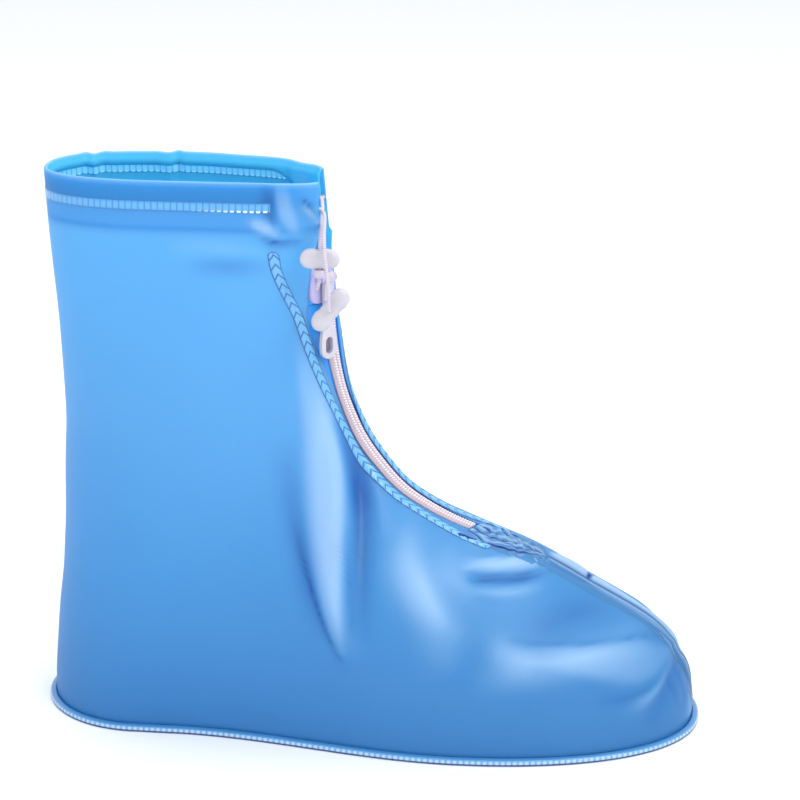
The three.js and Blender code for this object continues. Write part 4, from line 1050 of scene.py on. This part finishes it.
def embossedSole():
    # thicker PVC film embossed with small dots 4 mm apart against slipping
    material, tree = startMaterial("pvcSoleEmbossed")
    coords = addNode(tree, "TexCoord").outputs["Object"]
    dots = addNode(tree, "TexVoronoi", dict(feature="F1"), dict(Scale=250.0, Randomness=0.0), dict(Vector=coords))
    cap = addNode(tree, "MapRange", values={"From Min": 0.18, "From Max": 0.34, "To Min": 1.0, "To Max": 0.0},
                  links=dict(Value=dots.outputs["Distance"])).outputs[0]
    mix = addNode(tree, "Mix", dict(data_type="RGBA"), mixOf("#3568AE", "#4A80C8"), dict(Factor=cap))
    return finishSkin(material, tree, mix.outputs[2], cap, 0.6, 0.0006, {"IOR": 1.53, "Roughness": 0.4})


def dress(piece, material):
    piece.data.materials.clear()
    piece.data.materials.append(material)


dress(upper, softPvcFilm("softPvcFilmCalendered", filmLook))
# the pinched film's painted glints are whiter and its painted shade darker
pinchedFilm = softPvcFilm("softPvcFilmPinched", dict(filmLook, paintedHighlight="#D2EEFF", paintedShade="#1A48A0",
                                                     paintedHighlightGlow="#C8EAFF", paintedShadeGlow="#2458B4", roughness=0.2))
for piece in (toeSeam, zipEndPucker):
    dress(piece, pinchedFilm)
dress(ladders[0], pressedWeld("pvcLadderWeldPressed", "#5AA8DE", "#2C70C0"))
# the inner ladder weld is painted paler cyan as painted light through the film, with painted glints on its dashes
dress(ladders[1], pressedWeld("pvcLadderWeldInsidePaintedLight", "#86DDF6", "#48A8EA", "#C4F4FC"))
chevronMaterial = pressedWeld("pvcChevronWeldPressed", "#62AEE4", "#174A9C")
for piece in chevrons:
    dress(piece, chevronMaterial)
dress(soleEdgeWeld, pressedWeld("pvcSoleEdgePressed", "#4386BE", "#1B3C7C", "#A9CDEE"))
for piece in tapes:
    dress(piece, plainPlastic("pvcTapeCalendered", "#3A9CEC", "#2A86DC", 0.22, 60.0, 0.0003))
# the coil's colour follows the tooth attribute: painted shade between the teeth
dress(zipCoil, plainPlastic("nylonCoilWoven", "#EEE4E6", "#B5A3AE", 0.5, 900.0, 0.0002, attribute="tooth"))
milky = plainPlastic("milkyPlasticMoulded", "#D0CCD2", "#B9B4BE", 0.34, 90.0, 0.0002, 0.12)
for piece in list(togglePieces.values()) + [moulded["zipPull"]]:
    dress(piece, milky)
dress(moulded["zipSlider"], plainPlastic("lilacPlasticMoulded", "#C3BAE0", "#AFA6D4", 0.28, 90.0, 0.0002, 0.1))
cordMaterial = braidedCord()
for piece in (cordPieces["near"], cordPieces["far"], drawcord, moulded["cordKnot"]):
    dress(piece, cordMaterial)
dress(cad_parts["sole"], embossedSole())
print("materials set")


# floor and light
studio = dict(floor="#F7F8FA", world="#F4F7FB", worldStrength=1.05)


def addFloor():
    # a wide matt painted board, paper white
    mesh = bpy.data.meshes.new("studioFloor")
    mesh.from_pydata([(-4, -4, 0), (4, -4, 0), (4, 4, 0), (-4, 4, 0)], [], [[0, 1, 2, 3]])
    floor = addObject("studioFloor", mesh)
    material, tree = startMaterial("paintedFloorMatt")
    coords = addNode(tree, "TexCoord").outputs["Object"]
    grain = addNode(tree, "TexNoise", values=dict(Scale=300.0), links=dict(Vector=coords)).outputs["Fac"]
    bump = addNode(tree, "Bump", values=dict(Strength=0.02, Distance=0.0005), links=dict(Height=grain))
    skin = addNode(tree, "BsdfPrincipled", values={"Base Color": toLinear(studio["floor"]), "Roughness": 0.8},
                   links=dict(Normal=bump.outputs[0]))
    dress(floor, finishMaterial(material, skin))


def addSoftbox(name, place, aim, size, power, gloss=True):
    light = addObject(name, bpy.data.lights.new(name, "AREA"))
    light.data.shape, light.data.energy = "RECTANGLE", power
    light.data.size, light.data.size_y = size
    light.location = place
    light.rotation_euler = (Vector(aim) - Vector(place)).to_track_quat("-Z", "Y").to_euler()
    light.visible_glossy = gloss


addFloor()
addSoftbox("keyLight", (0.9, -0.8, 1.3), (0, 0, 0.1), (0.9, 1.0), 11)
addSoftbox("leftLight", (-1.3, -0.7, 0.8), (0, 0, 0.12), (0.9, 1.2), 2, gloss=False)
addSoftbox("topLight", (0.0, 0.3, 1.6), (0, 0, 0.1), (1.2, 0.8), 9)
world = bpy.data.worlds.new("studioWorld")
world.use_nodes = True
background = world.node_tree.nodes["Background"]
background.inputs["Color"].default_value = toLinear(studio["world"])
background.inputs["Strength"].default_value = studio["worldStrength"]
bpy.context.scene.world = world
bpy.context.scene.view_settings.view_transform = "Standard"
print("light set")
